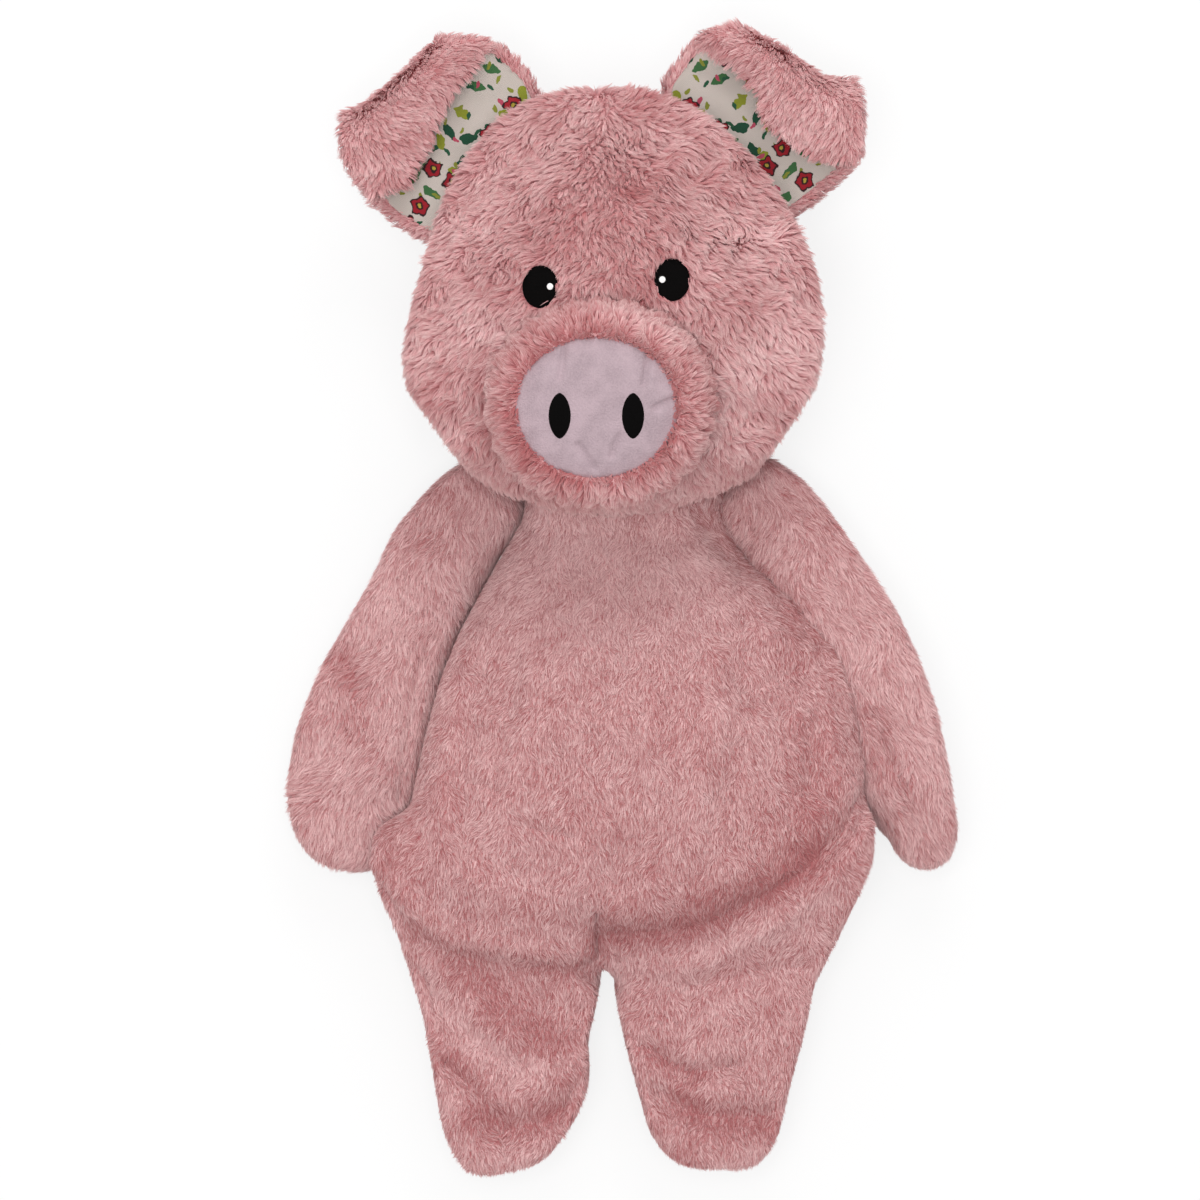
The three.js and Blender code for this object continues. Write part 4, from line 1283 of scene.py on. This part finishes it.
class PIG_OT_body(bpy.types.Operator):
    """Makes the belly, back and legs as one cover in two halves, with its folds and pile"""

    bl_idname = "pig.body"
    bl_label = "Body and legs"

    neck_corner = [(722, 491), (650, 600)]  # pixels: the corner under the chin, and a place in from it
    lap_rounds = 16
    chest_swell, chest_drop, chest_reach = 5 * MM, 12 * MM, 16 * MM
    corner_pull, corner_height, corner_reach = 9 * MM, 15 * MM, 13 * MM
    tail_room = 3 * MM
    hollow_edge, hollow_slope = 1.7, 0.6  # where the hollow ends, and how wide its slope is, in half tails

    def execute(self, context):
        covers, pile = settings("pig_covers"), settings("pig_pile")
        nodes = panels("torso") + panels("right_leg") + panels("left_leg")
        beside = [*panels("right_arm")[:2], *panels("left_arm")[:2], "face_panel", "head_back_panel"]
        cover = cover_of(
            "body_cover", nodes, covers.grain, covers.body_inset, rounds=6, beside=beside, bridges=self.hips()
        )
        relaxed(cover, self.lap(places(cover)), self.lap_rounds, back=EVENING_STEP)
        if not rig.quick():
            stuffed(cover)
        rounded_below(cover)
        fit_outline(cover, "body", pile=1.9 * MM)
        self.necked(cover)
        applied(cover, "SUBSURF", levels=1, render_levels=1)
        self.bellied(cover)
        for line, depth, width in BODY_CREASES:
            creased(cover, from_photo(line), depth * MM, width * MM)
        self.hollowed(cover)
        grounded(cover)
        nap = base_nap(
            pile.body, 11, swirl=0.8, swirl_size=0.008, width=0.27 * MM, tuft=7, gather=0.5,
            density=8.5e6, speckle=0.95, blotches=0.07, lean=1.4, roll=0.3, layers=1.3 * MM,
        )
        strands = hairs(cover, nap, downward, flush=painted_shading(BODY_PAINTED_SHADE))
        for side, sign in SIDES.items():
            half, hold = self.half(cover, side, sign), bending(side)
            stood = panels("torso") + panels(f"{side}_leg")
            dress(half, backing(), "body_fur", hold, *stood, fill=0.6)
            ours = (strands[0][:, 0] + covers.halves_x) * sign > 0
            grow(f"{side}_body_pile", tuple(v[ours] for v in strands), "body_fur", hold, straight=True)
        bpy.data.objects.remove(cover)
        return {"FINISHED"}

    @staticmethod
    def lap(points):
        """How far points belong to the front of the hips, which is smoothed."""
        below_waist = ramp(-points[:, 1], 6 * MM, 42 * MM)
        above_feet = ramp(points[:, 1], -120 * MM, 35 * MM)
        return below_waist * above_feet * ramp(points[:, 2], 13 * MM, 12 * MM)

    @staticmethod
    def hips():
        """For each hip and the fork, the points of the belly's hem and of the thigh, between which the
        cloth is drawn straight."""
        hem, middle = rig.box("torso_front_panel")[0][1], -settings("pig_covers").halves_x
        thighs = {side: panels(f"{side}_leg")[:2] for side in SIDES}
        both, fork = thighs["right"] + thighs["left"], 18 * MM
        bridges = []
        for legs, low, high, start, end in (
            (thighs["right"], 32 * MM, 12 * MM, -1, middle),
            (thighs["left"], 32 * MM, 12 * MM, middle, 1),
            (both, 20 * MM, 3 * MM, middle - fork, middle + fork),
        ):
            belly = node_points(panels("torso")[:2], hem - MM, hem + 24 * MM, start, end)
            bridges.append(np.concatenate((belly, node_points(legs, hem - low, hem - high, start, end))))
        return bridges

    def necked(self, cover):
        """Fills the chest, and draws the cover's top corner out under the chin, up to the left shoulder."""
        points, out = places(cover), normals(cover)
        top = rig.box("torso_front_panel")[1][1]
        chest = bell((points[:, 1] - top + self.chest_drop) / self.chest_reach)
        points[:, 2] += self.chest_swell * chest * np.clip(out[:, 2], 0, 1)
        corner, middle = from_photo(self.neck_corner, self.corner_height)
        near = bell(np.linalg.norm(points[:, :2] - corner, axis=1) / self.corner_reach)
        outward = corner - middle
        points[:, :2] += self.corner_pull * near[:, None] * outward / np.linalg.norm(outward)
        set_places(cover, points)

    @staticmethod
    def bellied(cover):
        """Lets the belly hang over the legs."""
        points, out = places(cover), normals(cover)
        valley, ledge = from_photo(BELLY_VALLEY), from_photo(BELLY_LEDGE)
        above = (points[:, 1] - np.interp(points[:, 0], valley[:, 0], valley[:, 1])) / MM
        below = (np.interp(points[:, 0], ledge[:, 0], ledge[:, 1]) - points[:, 1]) / MM
        in_valley = np.clip((points[:, 0] - valley[0, 0]) / (8 * MM) + 0.5, 0, 1)
        hang = in_valley * sum(rise * bell((above - at) / width) for rise, at, width in VALLEY_SWELLS)
        hang += (1 - in_valley) * sum(rise * bell((below - at) / width) for rise, at, width in LEDGE_SWELLS)
        set_places(cover, points + out * (hang * MM * frontness(out))[:, None])

    def hollowed(self, cover):
        """Makes the hollow at the small of the back that the tail lies in."""
        low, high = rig.box("tail")
        middle, half = (low + high) / 2, (high - low) / 2
        points, out = places(cover), normals(cover)
        away = (points[:, :2] - np.array(middle.xy)) / (np.array(half.xy) + self.tail_room)
        slope = np.clip((self.hollow_edge - np.linalg.norm(away, axis=1)) / self.hollow_slope, 0, 1)
        roof = (high.z + self.tail_room) * slope * slope * (3 - 2 * slope)
        points[:, 2] = np.where(out[:, 2] < 0.2, np.maximum(points[:, 2], roof), points[:, 2])
        set_places(cover, points)

    @staticmethod
    def half(cover, side, sign):
        """One half of the cover, cut at the middle seam and closed there."""
        half = bpy.data.objects.new(f"{side}_body_cover", cover.data.copy())
        bpy.context.scene.collection.objects.link(half)
        select(half)
        bpy.ops.object.mode_set(mode="EDIT")
        bpy.ops.mesh.select_all(action="SELECT")
        at = (-settings("pig_covers").halves_x, 0, 0)
        bpy.ops.mesh.bisect(plane_co=at, plane_no=(sign, 0, 0), use_fill=True, clear_inner=True)
        bpy.ops.mesh.mark_sharp()
        bpy.ops.object.mode_set(mode="OBJECT")
        return half


class PIG_OT_arms(bpy.types.Operator):
    """Makes the two arms and their pile"""

    bl_idname = "pig.arms"
    bl_label = "Arms"

    def execute(self, context):
        covers, pile = settings("pig_covers"), settings("pig_pile")
        beside = [*panels("torso")[:2], "face_panel", "head_back_panel"]
        for number, side in enumerate(SIDES):
            arm = f"{side}_arm"
            name, inset = f"{arm}_cover", covers.arm_inset
            cover = cover_of(name, panels(arm), covers.grain, inset, rounds=6, beside=beside)
            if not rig.quick():
                stuffed(cover)
            rounded_below(cover)
            fit_outline(cover, arm, pile=2.1 * MM)
            applied(cover, "SUBSURF", levels=1, render_levels=1)
            for line, depth, width in ARM_CREASES[side]:
                creased(cover, from_photo(line), depth * MM, width * MM)
            grounded(cover)
            nap = base_nap(
                pile.arms, 21 + number, swirl=0.7, tuft=10, gather=0.45, width=0.28 * MM, density=7e6,
                speckle=0.8, blotches=0.09, lean=1.4, roll=0.3, layers=1.5 * MM,
            )
            strands = hairs(cover, nap, downward, flush=painted_shading(ARM_PAINTED_SHADE[side]))
            dress(cover, backing(), "limb_fur", riding(arm), *panels(arm), fill=0.55)
            grow(f"{arm}_pile", strands, "limb_fur", riding(arm), straight=True)
        return {"FINISHED"}


class PIG_OT_head(bpy.types.Operator):
    """Makes the head and its long pile, kept clear of the eyes"""

    bl_idname = "pig.head"
    bl_label = "Head"

    front = 60 * MM  # the height above which the pile is kept clear of the eyes and snout
    brow_and_cheek = [(610, 215), (775, 380)]  # pixels: where shade is painted darkest into the pile, on the brow, and where sheen is painted palest, on the cheek

    def execute(self, context):
        covers, pile = settings("pig_covers"), settings("pig_pile")
        nodes = ["face_panel", "head_back_panel", "head_fill"]
        cover = cover_of("head_cover", nodes, covers.grain, covers.head_inset, rounds=7)
        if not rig.quick():
            stuffed(cover)
        fit_outline(cover, "head", pile=3.3 * MM)
        applied(cover, "SUBSURF", levels=1, render_levels=1)
        grounded(cover)
        eyes = [node_oval(f"{side}_eye") for side in SIDES]
        snout = [node_oval("muzzle_band")]
        brow, cheek = from_photo(self.brow_and_cheek)

        def clear(points):
            covered = within(eyes, points, scale=0.84) | within(snout, points, scale=0.8)
            return covered & (points[:, 2] > self.front)

        # Painted shade over the brow, and painted sheen on the cheek.
        def flush(points):
            to_shaded_brow = np.linalg.norm(points[:, :2] - brow, axis=1) / (32 * MM)
            paler = np.linalg.norm(points[:, :2] - cheek, axis=1) / (22 * MM)
            return 0.14 * bell(to_shaded_brow) - 0.12 * bell(paler)

        nap = base_nap(
            pile.head, 31, swirl=1.1, swirl_size=0.0065, tuft=10, gather=0.55, density=6.0e6,
            width=0.27 * MM, lean=1.05, speckle=0.4,
        )
        strands = hairs(cover, nap, from_crown, clear, flush)
        dress(cover, backing(), "head_fur", riding("head"), *nodes, fill=0.7)
        grow("head_pile", strands, "head_fur", riding("head"))
        return {"FINISHED"}


SNOUT_SHIFT = -1.45 * MM  # how far to the side the velour sits of the place that its panel has
VELOUR_HEIGHT = 100 * MM
# Creases of the velour in pixels of the photograph
VELOUR_CREASES = (
    [(564, 350), (560, 378)],
    [(650, 347), (644, 385)],
    [(578, 445), (594, 468)],
    [(619, 436), (612, 456)],
    [(655, 408), (676, 398)],
)


class PIG_OT_snout(bpy.types.Operator):
    """Makes the puffed furry band, the velour disc and the stitched nostrils"""

    bl_idname = "pig.snout"
    bl_label = "Snout"

    def execute(self, context):
        pile = settings("pig_pile")
        nodes = ["muzzle_band", "muzzle_fill"]
        inset = settings("pig_covers").muzzle_inset
        cover = cover_of("muzzle_cover", [*nodes, "snout_disc"], grain=2 * MM, height=inset, rounds=4)
        applied(cover, "SUBSURF", levels=1, render_levels=1)
        middle, half = node_oval("snout_disc")
        shift = np.array([SNOUT_SHIFT, 0])
        self.puckered(cover, middle, half)

        def outward(points):
            away = points[:, :2] - middle
            return np.concatenate((unit(away), np.full((len(points), 1), -0.3)), 1)

        def clear(points):
            return within([(middle + shift, half)], points, scale=0.97)

        def flush(points):
            """Painted shade in the groove round the disc, over a darker tone for the whole band, and a painted
            highlight on the crest beyond it.
            """
            away = np.linalg.norm((points[:, :2] - middle - shift) / half, axis=1)
            return 0.2 + 0.3 * bell((away - 1) / 0.05) - 0.08 * bell((away - 1.25) / 0.15)

        nap = base_nap(
            pile.muzzle, 41, swirl=1.0, swirl_size=0.006, lean=0.95, tuft=14, gather=0.55,
            hidden=1.0, density=7e6, width=0.27 * MM, speckle=0.5,
        )
        strands = hairs(cover, nap, outward, clear, flush)
        dress(cover, backing(), "head_fur", riding("head"), *nodes, fill=0.8)
        grow("muzzle_pile", strands, "head_fur", riding("head"))
        self.disc()
        return {"FINISHED"}

    @staticmethod
    def puckered(cover, middle, half):
        """Puffs the band up round the disc, and gathers it in small folds that run out from there."""
        points, out = places(cover), normals(cover)
        away = (points[:, :2] - middle) / half
        angle = np.arctan2(away[:, 1], away[:, 0])
        past = np.linalg.norm(away, axis=1) - 1
        count, sway, rise, on_top = 26, 2 * np.sin(3 * angle), 0.6, 0.3
        folds = rise * np.sin(count * angle + sway) * np.clip(1 - np.abs(out[:, 2]), on_top, 1)
        crest, crest_at, crest_width, sink = 1.6, 0.16, 0.13, 2.0
        puff = crest * bell((past - crest_at) / crest_width) - sink * np.clip(-past * 8, 0, 1)
        set_places(cover, points + out * ((folds * (past > 0) + puff) * MM)[:, None])

    @staticmethod
    def disc():
        """The velour disc, with faint creases."""
        disc = cover_of("snout_velour", ["snout_disc"], grain=0.8 * MM, height=0.0, rounds=6)
        middle, half = node_oval("snout_disc")
        points = places(disc)
        rim = np.linalg.norm((points[:, :2] - middle) / half, axis=1)
        rim_drop, widening = 1.6 * MM, 1.03
        points[:, 2] -= rim_drop * rim**5
        points[:, 0] = middle[0] + SNOUT_SHIFT + (points[:, 0] - middle[0]) * widening
        set_places(disc, points)
        for line in VELOUR_CREASES:
            creased(disc, from_photo(line, VELOUR_HEIGHT), depth=1.3 * MM, width=1.0 * MM)
        velour = finish_once("brushed_velour", velour_finish)
        dress(disc, velour, "velour", riding("head"), "snout_disc", fill=0.8)
        for side in SIDES:
            stitched_patch(
                f"{side}_nostril_stitching", f"{side}_nostril", disc, "black_thread",
                lift=0.0, rise=0.4 * MM, size=0.93, point=0.12, shift=SNOUT_SHIFT,
            )


def surface_heights(surface, points):
    """The height of a surface under points in plan."""
    mesh = surface.data
    tree = BVHTree.FromPolygons([v.co for v in mesh.vertices], [p.vertices for p in mesh.polygons])
    down = Vector((0, 0, -1))
    found = [tree.ray_cast(Vector((x, y, 1)), down)[0] for x, y in points[:, :2]]
    return np.array([0.0 if hit is None else hit.z for hit in found])


def stitched_patch(name, node, surface, slot, lift, rise, size=1.0, point=0.0, shift=0.0):
    """A domed oval of satin stitches in place of a CAD node, its edge some way over the surface under it,
    and its upper and lower ends drawn to a point."""
    face, colours = settings("pig_face"), settings("pig_colours")
    low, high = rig.box(node)
    middle, half = (low + high) / 2, (high - low) / 2
    bpy.ops.object.select_all(action="DESELECT")
    bpy.ops.mesh.primitive_uv_sphere_add(segments=64, ring_count=40, radius=1, location=middle)
    patch = bpy.context.object
    patch.name = name
    patch.scale = (half.x * size, half.y * size, 1)
    bpy.ops.object.transform_apply(location=True, rotation=True, scale=True)
    points = places(patch)
    up = np.clip((points[:, 1] - middle.y) / (half.y * size), -1, 1)
    points[:, 0] = middle.x + (points[:, 0] - middle.x) * (1 - up**2 * 0.98) ** point
    points[:, 0] += shift
    dome = np.clip(points[:, 2] - middle.z, -1, 1)
    ridge = np.sin(points[:, 1] * 2 * math.pi / face.stitch) * face.stitch_rise
    over = np.where(dome > 0, rise * np.abs(dome) ** 0.7 + ridge * dome, face.root_depth * dome)
    points[:, 2] = surface_heights(surface, points) + lift + over
    set_places(patch, points)
    shade = colours.black if slot == "black_thread" else colours.white
    finish = finish_once(f"stitched_{slot}", thread_finish, shade)
    dress(patch, finish, slot, riding("head"), node)
    return patch


class PIG_OT_eyes(bpy.types.Operator):
    """Stitches the eyes and their glints on the face"""

    bl_idname = "pig.eyes"
    bl_label = "Eyes"

    def execute(self, context):
        face, surface = settings("pig_face"), bpy.data.objects["head_cover"]
        for side in SIDES:
            stitched_patch(
                f"{side}_eye_stitching", f"{side}_eye", surface, "black_thread",
                lift=face.eye_lift, rise=face.patch_rise, size=0.93,
            )
            stitched_patch(
                f"{side}_glint_stitching", f"{side}_eye_glint", surface, "white_thread",
                lift=face.eye_lift + face.patch_rise, rise=0.3 * MM, size=0.72,
            )
        return {"FINISHED"}


# An ear in the frame of its seam, in pixels of the photograph: along the seam and out from it.
EAR_LINES = {
    "right": {
        "start": [(0, -20), (-18, 10), (-26, 45), (-16, 72), (2, 97)],
        "end": [(166, -20), (173, 10), (174, 39), (169, 71), (155, 105), (140, 124), (117, 137)],
        "fold": [(2, 97), (55, 113), (117, 137)],
        "flap": [(-5, 57), (59, 63), (101, 54), (134, 50), (162, 74)],
    },
    "left": {
        "start": [(0, -20), (-18, 10), (-23, 48), (-14, 76), (0, 92)],
        "end": [(160, -20), (168, 27), (174, 60), (170, 84), (152, 106), (132, 124), (116, 130)],
        "fold": [(0, 92), (30, 103), (71, 108), (116, 130)],
        "flap": [(-13, 59), (21, 66), (54, 62), (78, 44), (123, 51), (151, 72)],
    },
}


class EarSheet:
    """The middle surface of a folded ear, in the frame of its seam."""

    columns = 44
    base_rows = 26
    bend_rows = 14
    flap_rows = 14
    ripple, ripple_size, ripple_start = 0.5 * MM, 7 * MM, 20 * MM

    def __init__(self, side):
        joint = JOINTS[f"{side}_ear_seam"]
        self.lines = {key: np.array(value, float) * PIXEL for key, value in EAR_LINES[side].items()}
        self.start = np.array(joint["pos_m"])
        self.along = np.array(joint["axis"]) * SIDES[side]
        self.out = np.array([abs(self.along[1]) * SIDES[side], abs(self.along[0]), 0])

    def edge_x(self, name, y):
        """Where a side edge lies along the seam, at a distance out from it."""
        line = self.lines[name]
        return np.interp(y, line[:, 1], line[:, 0])

    def across(self, name, shares):
        """How far out a line lies, at shares of its width."""
        line = self.lines[name]
        x = line[0, 0] + shares * (line[-1, 0] - line[0, 0])
        return np.interp(x, line[:, 0], line[:, 1])

    def rows(self, inside, bend_y, flap_y):
        """How far out, how high and how far along the cloth each row of a layer lies."""
        ears = settings("pig_ears")
        radius, bend = ears.fold, ears.fold - inside
        for row in range(self.base_rows):
            y = -ears.tuck + (bend_y + ears.tuck) * row / self.base_rows
            yield y, inside, y
        for row in range(self.bend_rows + 1):
            angle = math.pi * row / self.bend_rows
            yield bend_y + bend * math.sin(angle), radius - bend * math.cos(angle), bend_y + radius * angle
        for row in range(1, self.flap_rows + 1):
            down = row / self.flap_rows
            sag = radius * 0.55 * down**1.5
            run = bend_y + radius * math.pi + (bend_y - flap_y) * down
            yield bend_y + (flap_y - bend_y) * down, 2 * radius - inside - sag, run

    def grid(self, inside, hem):
        """Points of a layer that lies some way inside the fold, drawn in by a hem: rows across the ear."""
        ears, shares = settings("pig_ears"), np.linspace(0, 1, self.columns)
        bend_y = self.across("fold", shares) - ears.fold
        points, uvs = [], []
        for y, z, run in self.rows(inside, bend_y, self.across("flap", shares) + hem):
            low, high = self.edge_x("start", y) + hem, self.edge_x("end", y) - hem
            x = low + (high - low) * shares
            ripple = self.ripple * np.sin(x / self.ripple_size) * np.clip(y / self.ripple_start, 0, 1)
            up = np.outer(z - ears.fur_wall * 1.5 + ripple, [0, 0, 1])
            points.append(self.start + np.outer(x, self.along) + np.outer(y, self.out) + up)
            uvs.append(np.stack((x, run), 1))
        return np.array(points), np.array(uvs)


def sheet_piece(name, points, uvs, thickness):
    """A closed sheet of cloth from rows of points."""
    rows, columns = points.shape[:2]
    index = np.arange(rows * columns).reshape(rows, columns)
    quads = np.stack((index[:-1, :-1], index[:-1, 1:], index[1:, 1:], index[1:, :-1]), -1).reshape(-1, 4)
    piece = made_piece(name, points.reshape(-1, 3), quads.tolist())
    layer = piece.data.uv_layers.new(name=COTTON_UV)
    corners = np.empty(len(piece.data.loops), np.int32)
    piece.data.loops.foreach_get("vertex_index", corners)
    layer.data.foreach_set("uv", uvs.reshape(-1, 2)[corners].ravel().astype(np.float32))
    applied(piece, "SOLIDIFY", thickness=thickness, offset=0, use_even_offset=True)
    select(piece)
    bpy.ops.object.mode_set(mode="EDIT")
    bpy.ops.mesh.select_all(action="SELECT")
    bpy.ops.mesh.normals_make_consistent(inside=False)
    bpy.ops.object.mode_set(mode="OBJECT")
    applied(piece, "BEVEL", width=thickness * 0.3, segments=2)
    return piece


class PIG_OT_ears(bpy.types.Operator):
    """Makes the folded ears, with their cotton linings and pile"""

    bl_idname = "pig.ears"
    bl_label = "Ears"

    def execute(self, context):
        ears, pile = settings("pig_ears"), settings("pig_pile")
        for number, side in enumerate(SIDES):
            sheet = EarSheet(side)
            points, uvs = sheet.grid(0.0, 0.0)
            outer = sheet_piece(f"{side}_ear_cover", points, uvs, ears.fur_wall)
            inner_points, inner_uvs = sheet.grid(ears.fur_wall / 2 + ears.cotton_wall, ears.hem)
            lining = sheet_piece(f"{side}_ear_cotton", inner_points, inner_uvs, ears.cotton_wall)
            nap = base_nap(pile.ears, 51 + number, swirl=0.7, tuft=12, lean=1.15, hidden=0.8, gather=0.5)
            strands = self.fur(outer, nap, sheet, points, inner_points - points)
            hold = riding(f"{side}_ear")
            dress(outer, backing(), "ear_fur", hold, f"{side}_ear_outer")
            cotton = finish_once("printed_cotton", cotton_finish)
            dress(lining, cotton, "ear_cotton", hold, f"{side}_ear_lining")
            grow(f"{side}_ear_pile", strands, "ear_fur", hold)
        return {"FINISHED"}

    @staticmethod
    def fur(outer, nap, sheet, points, to_inside):
        """The hairs of an ear's outside and of its rim, given the way from its points to the lining's."""
        hem = settings("pig_ears").hem
        flat, inward = points.reshape(-1, 3), unit(to_inside.reshape(-1, 3))
        tree = KDTree(len(flat))
        for i, point in enumerate(flat):
            tree.insert(point, i)
        tree.balance()
        ends = [np.linalg.norm(points - points[:, end][:, None], axis=2) for end in (0, -1)]
        rim = (np.minimum(*ends) < hem).ravel()
        side_way = np.where(ends[0] < ends[1], -1.0, 1.0).ravel()[:, None] * sheet.along
        fringe = 1.1 * side_way * rim[:, None]
        ways = np.gradient(points, axis=0).reshape(-1, 3)
        drop = np.array([0.1 * np.sign(sheet.out[0]), -0.2, 0.0])

        def near(where):
            """For each place, the number of the sheet's nearest point."""
            return np.array([tree.find(place)[1] for place in where])

        def flow(where):
            """Out from the head behind, over the fold, and on to the free edge in front."""
            found = near(where)
            return unit(ways[found]) + fringe[found] + drop

        def inside(where):
            """Which places lie on the cotton's side of the ear, short of the furry rim."""
            found = near(where)
            return (((where - flat[found]) * inward[found]).sum(1) > 0.35 * MM) & ~rim[found]

        strands = hairs(outer, nap, flow)
        outside = ~inside(strands[0]) & ~inside(strands[2])
        return tuple(v[outside] for v in strands)


class PIG_OT_tail(bpy.types.Operator):
    """Makes the small curled tail"""

    bl_idname = "pig.tail"
    bl_label = "Tail"

    def execute(self, context):
        tail = cover_of("tail_cover", ["tail"], grain=0.7 * MM, height=0.5 * MM, rounds=4)
        nap = base_nap(settings("pig_pile").tail, 61, hidden=1.0, tuft=6, width=0.35 * MM, density=3.5e6)
        strands = hairs(tail, nap, downward)
        dress(tail, backing(), "limb_fur", riding("tail"), "tail", fill=0.7)
        grow("tail_pile", strands, "limb_fur", riding("tail"))
        return {"FINISHED"}


class PIG_OT_stage(bpy.types.Operator):
    """Sets the pale floor, the soft light and the camera straight above the toy"""

    bl_idname = "pig.stage"
    bl_label = "Stage"

    picture_width = 1200  # pixels
    # Each lamp's share of the lamp power, and its place
    lamp_places = {"soft_lamp": (1.0, (-0.1, 0.0, 1.5)), "head_lamp": (0.45, (0.1, 1.1, 0.9))}
    lamp_target = (0, 0.06, 0.03)

    def execute(self, context):
        scene, stage = context.scene, settings("pig_stage")
        scene.view_settings.view_transform = "Standard"
        bpy.ops.object.select_all(action="DESELECT")
        bpy.ops.mesh.primitive_plane_add(size=8, location=(0, 0, -0.1 * MM))
        floor = context.object
        floor.name = "floor"
        floor.data.materials.append(self.floor_finish())
        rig.stage(floor)
        self.world(scene, stage)
        self.lamps(scene, stage)
        middle = from_photo([MIDDLE_PIXEL])[0]
        lens = bpy.data.cameras.new("camera")
        distance = stage.camera_height - stage.sight_height
        lens.lens = lens.sensor_width * distance / (self.picture_width * PIXEL)
        lens.clip_end = 50
        camera = bpy.data.objects.new("camera", lens)
        camera.location = (*middle, stage.camera_height)
        scene.collection.objects.link(camera)
        scene.camera = camera
        return {"FINISHED"}

    @staticmethod
    def floor_finish():
        """White, with most of what the camera sees lit evenly, so that only a soft shadow is left."""
        made = Finish("floor_white")
        made.set(Base_Color=(0.9, 0.9, 0.9), Roughness=0.9)
        rays = made.node("ShaderNodeLightPath")
        seen = Value(made, rays.outputs["Is Camera Ray"]).upper(Value(made, rays.outputs["Is Glossy Ray"]))
        glow = made.node("ShaderNodeEmission", None, (1, 1, 1, 1), 1.0)
        blend = made.node("ShaderNodeMixShader", None, seen * 0.8, made.shader.outputs[0], glow.outputs[0])
        out = next(n for n in made.tree.nodes if n.type == "OUTPUT_MATERIAL")
        made.tree.links.new(blend.outputs[0], out.inputs[0])
        return made.material

    @staticmethod
    def world(scene, stage):
        """Even pale light all round, and white to the camera."""
        scene.world = bpy.data.worlds.new("studio")
        scene.world.use_nodes = True
        tree = scene.world.node_tree
        even = tree.nodes["Background"]
        even.inputs[0].default_value = (1, 1, 1, 1)
        rays = tree.nodes.new("ShaderNodeLightPath")
        reach = tree.nodes.new("ShaderNodeMapRange")
        reach.inputs["To Min"].default_value = stage.fill
        reach.inputs["To Max"].default_value = 1.0
        tree.links.new(rays.outputs["Is Camera Ray"], reach.inputs["Value"])
        tree.links.new(reach.outputs[0], even.inputs[1])

    def lamps(self, scene, stage):
        """A large soft lamp above the toy, and a weaker one beyond its head."""
        for name, (share, place) in self.lamp_places.items():
            light = bpy.data.lights.new(name, "AREA")
            light.energy, light.size = stage.lamp_power * share, stage.lamp_size
            lamp = bpy.data.objects.new(name, light)
            lamp.location = place
            aim = Vector(self.lamp_target) - lamp.location
            lamp.rotation_euler = aim.to_track_quat("-Z", "Y").to_euler()
            scene.collection.objects.link(lamp)


OPERATORS = (
    PIG_OT_body,
    PIG_OT_arms,
    PIG_OT_head,
    PIG_OT_snout,
    PIG_OT_eyes,
    PIG_OT_ears,
    PIG_OT_tail,
    PIG_OT_stage,
)
GROUPS = {
    "pig_covers": PigCovers,
    "pig_pile": PigPile,
    "pig_colours": PigColours,
    "pig_face": PigFace,
    "pig_ears": PigEars,
    "pig_stage": PigStage,
}


class PIG_PT_panel(bpy.types.Panel):
    """Lists the pieces of the pig and the stage"""

    bl_label = "Plush pig"
    bl_idname = "PIG_PT_panel"
    bl_space_type = "VIEW_3D"
    bl_region_type = "UI"
    bl_category = "Pig"

    def draw(self, context):
        for operator in OPERATORS:
            self.layout.operator(operator.bl_idname)
        for name in GROUPS:
            box = self.layout.box()
            group = getattr(context.scene, name)
            for key in group.__annotations__:
                box.prop(group, key)


def register():
    for kind in (*GROUPS.values(), *OPERATORS, PIG_PT_panel):
        bpy.utils.register_class(kind)
    for name, kind in GROUPS.items():
        setattr(bpy.types.Scene, name, PointerProperty(type=kind))


def unregister():
    for name in GROUPS:
        delattr(bpy.types.Scene, name)
    for kind in (PIG_PT_panel, *reversed(OPERATORS), *reversed(GROUPS.values())):
        bpy.utils.unregister_class(kind)


def main():
    register()
    for operator in OPERATORS:
        group, name = operator.bl_idname.split(".")
        getattr(getattr(bpy.ops, group), name)()
    sizes = {"cad": [list(corner) for corner in CAD_BOX], "visual": [list(corner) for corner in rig.bounds()]}
    with open(SIZE_FILE, "w") as file:
        json.dump(sizes, file)


if __name__ == "__main__":
    main()
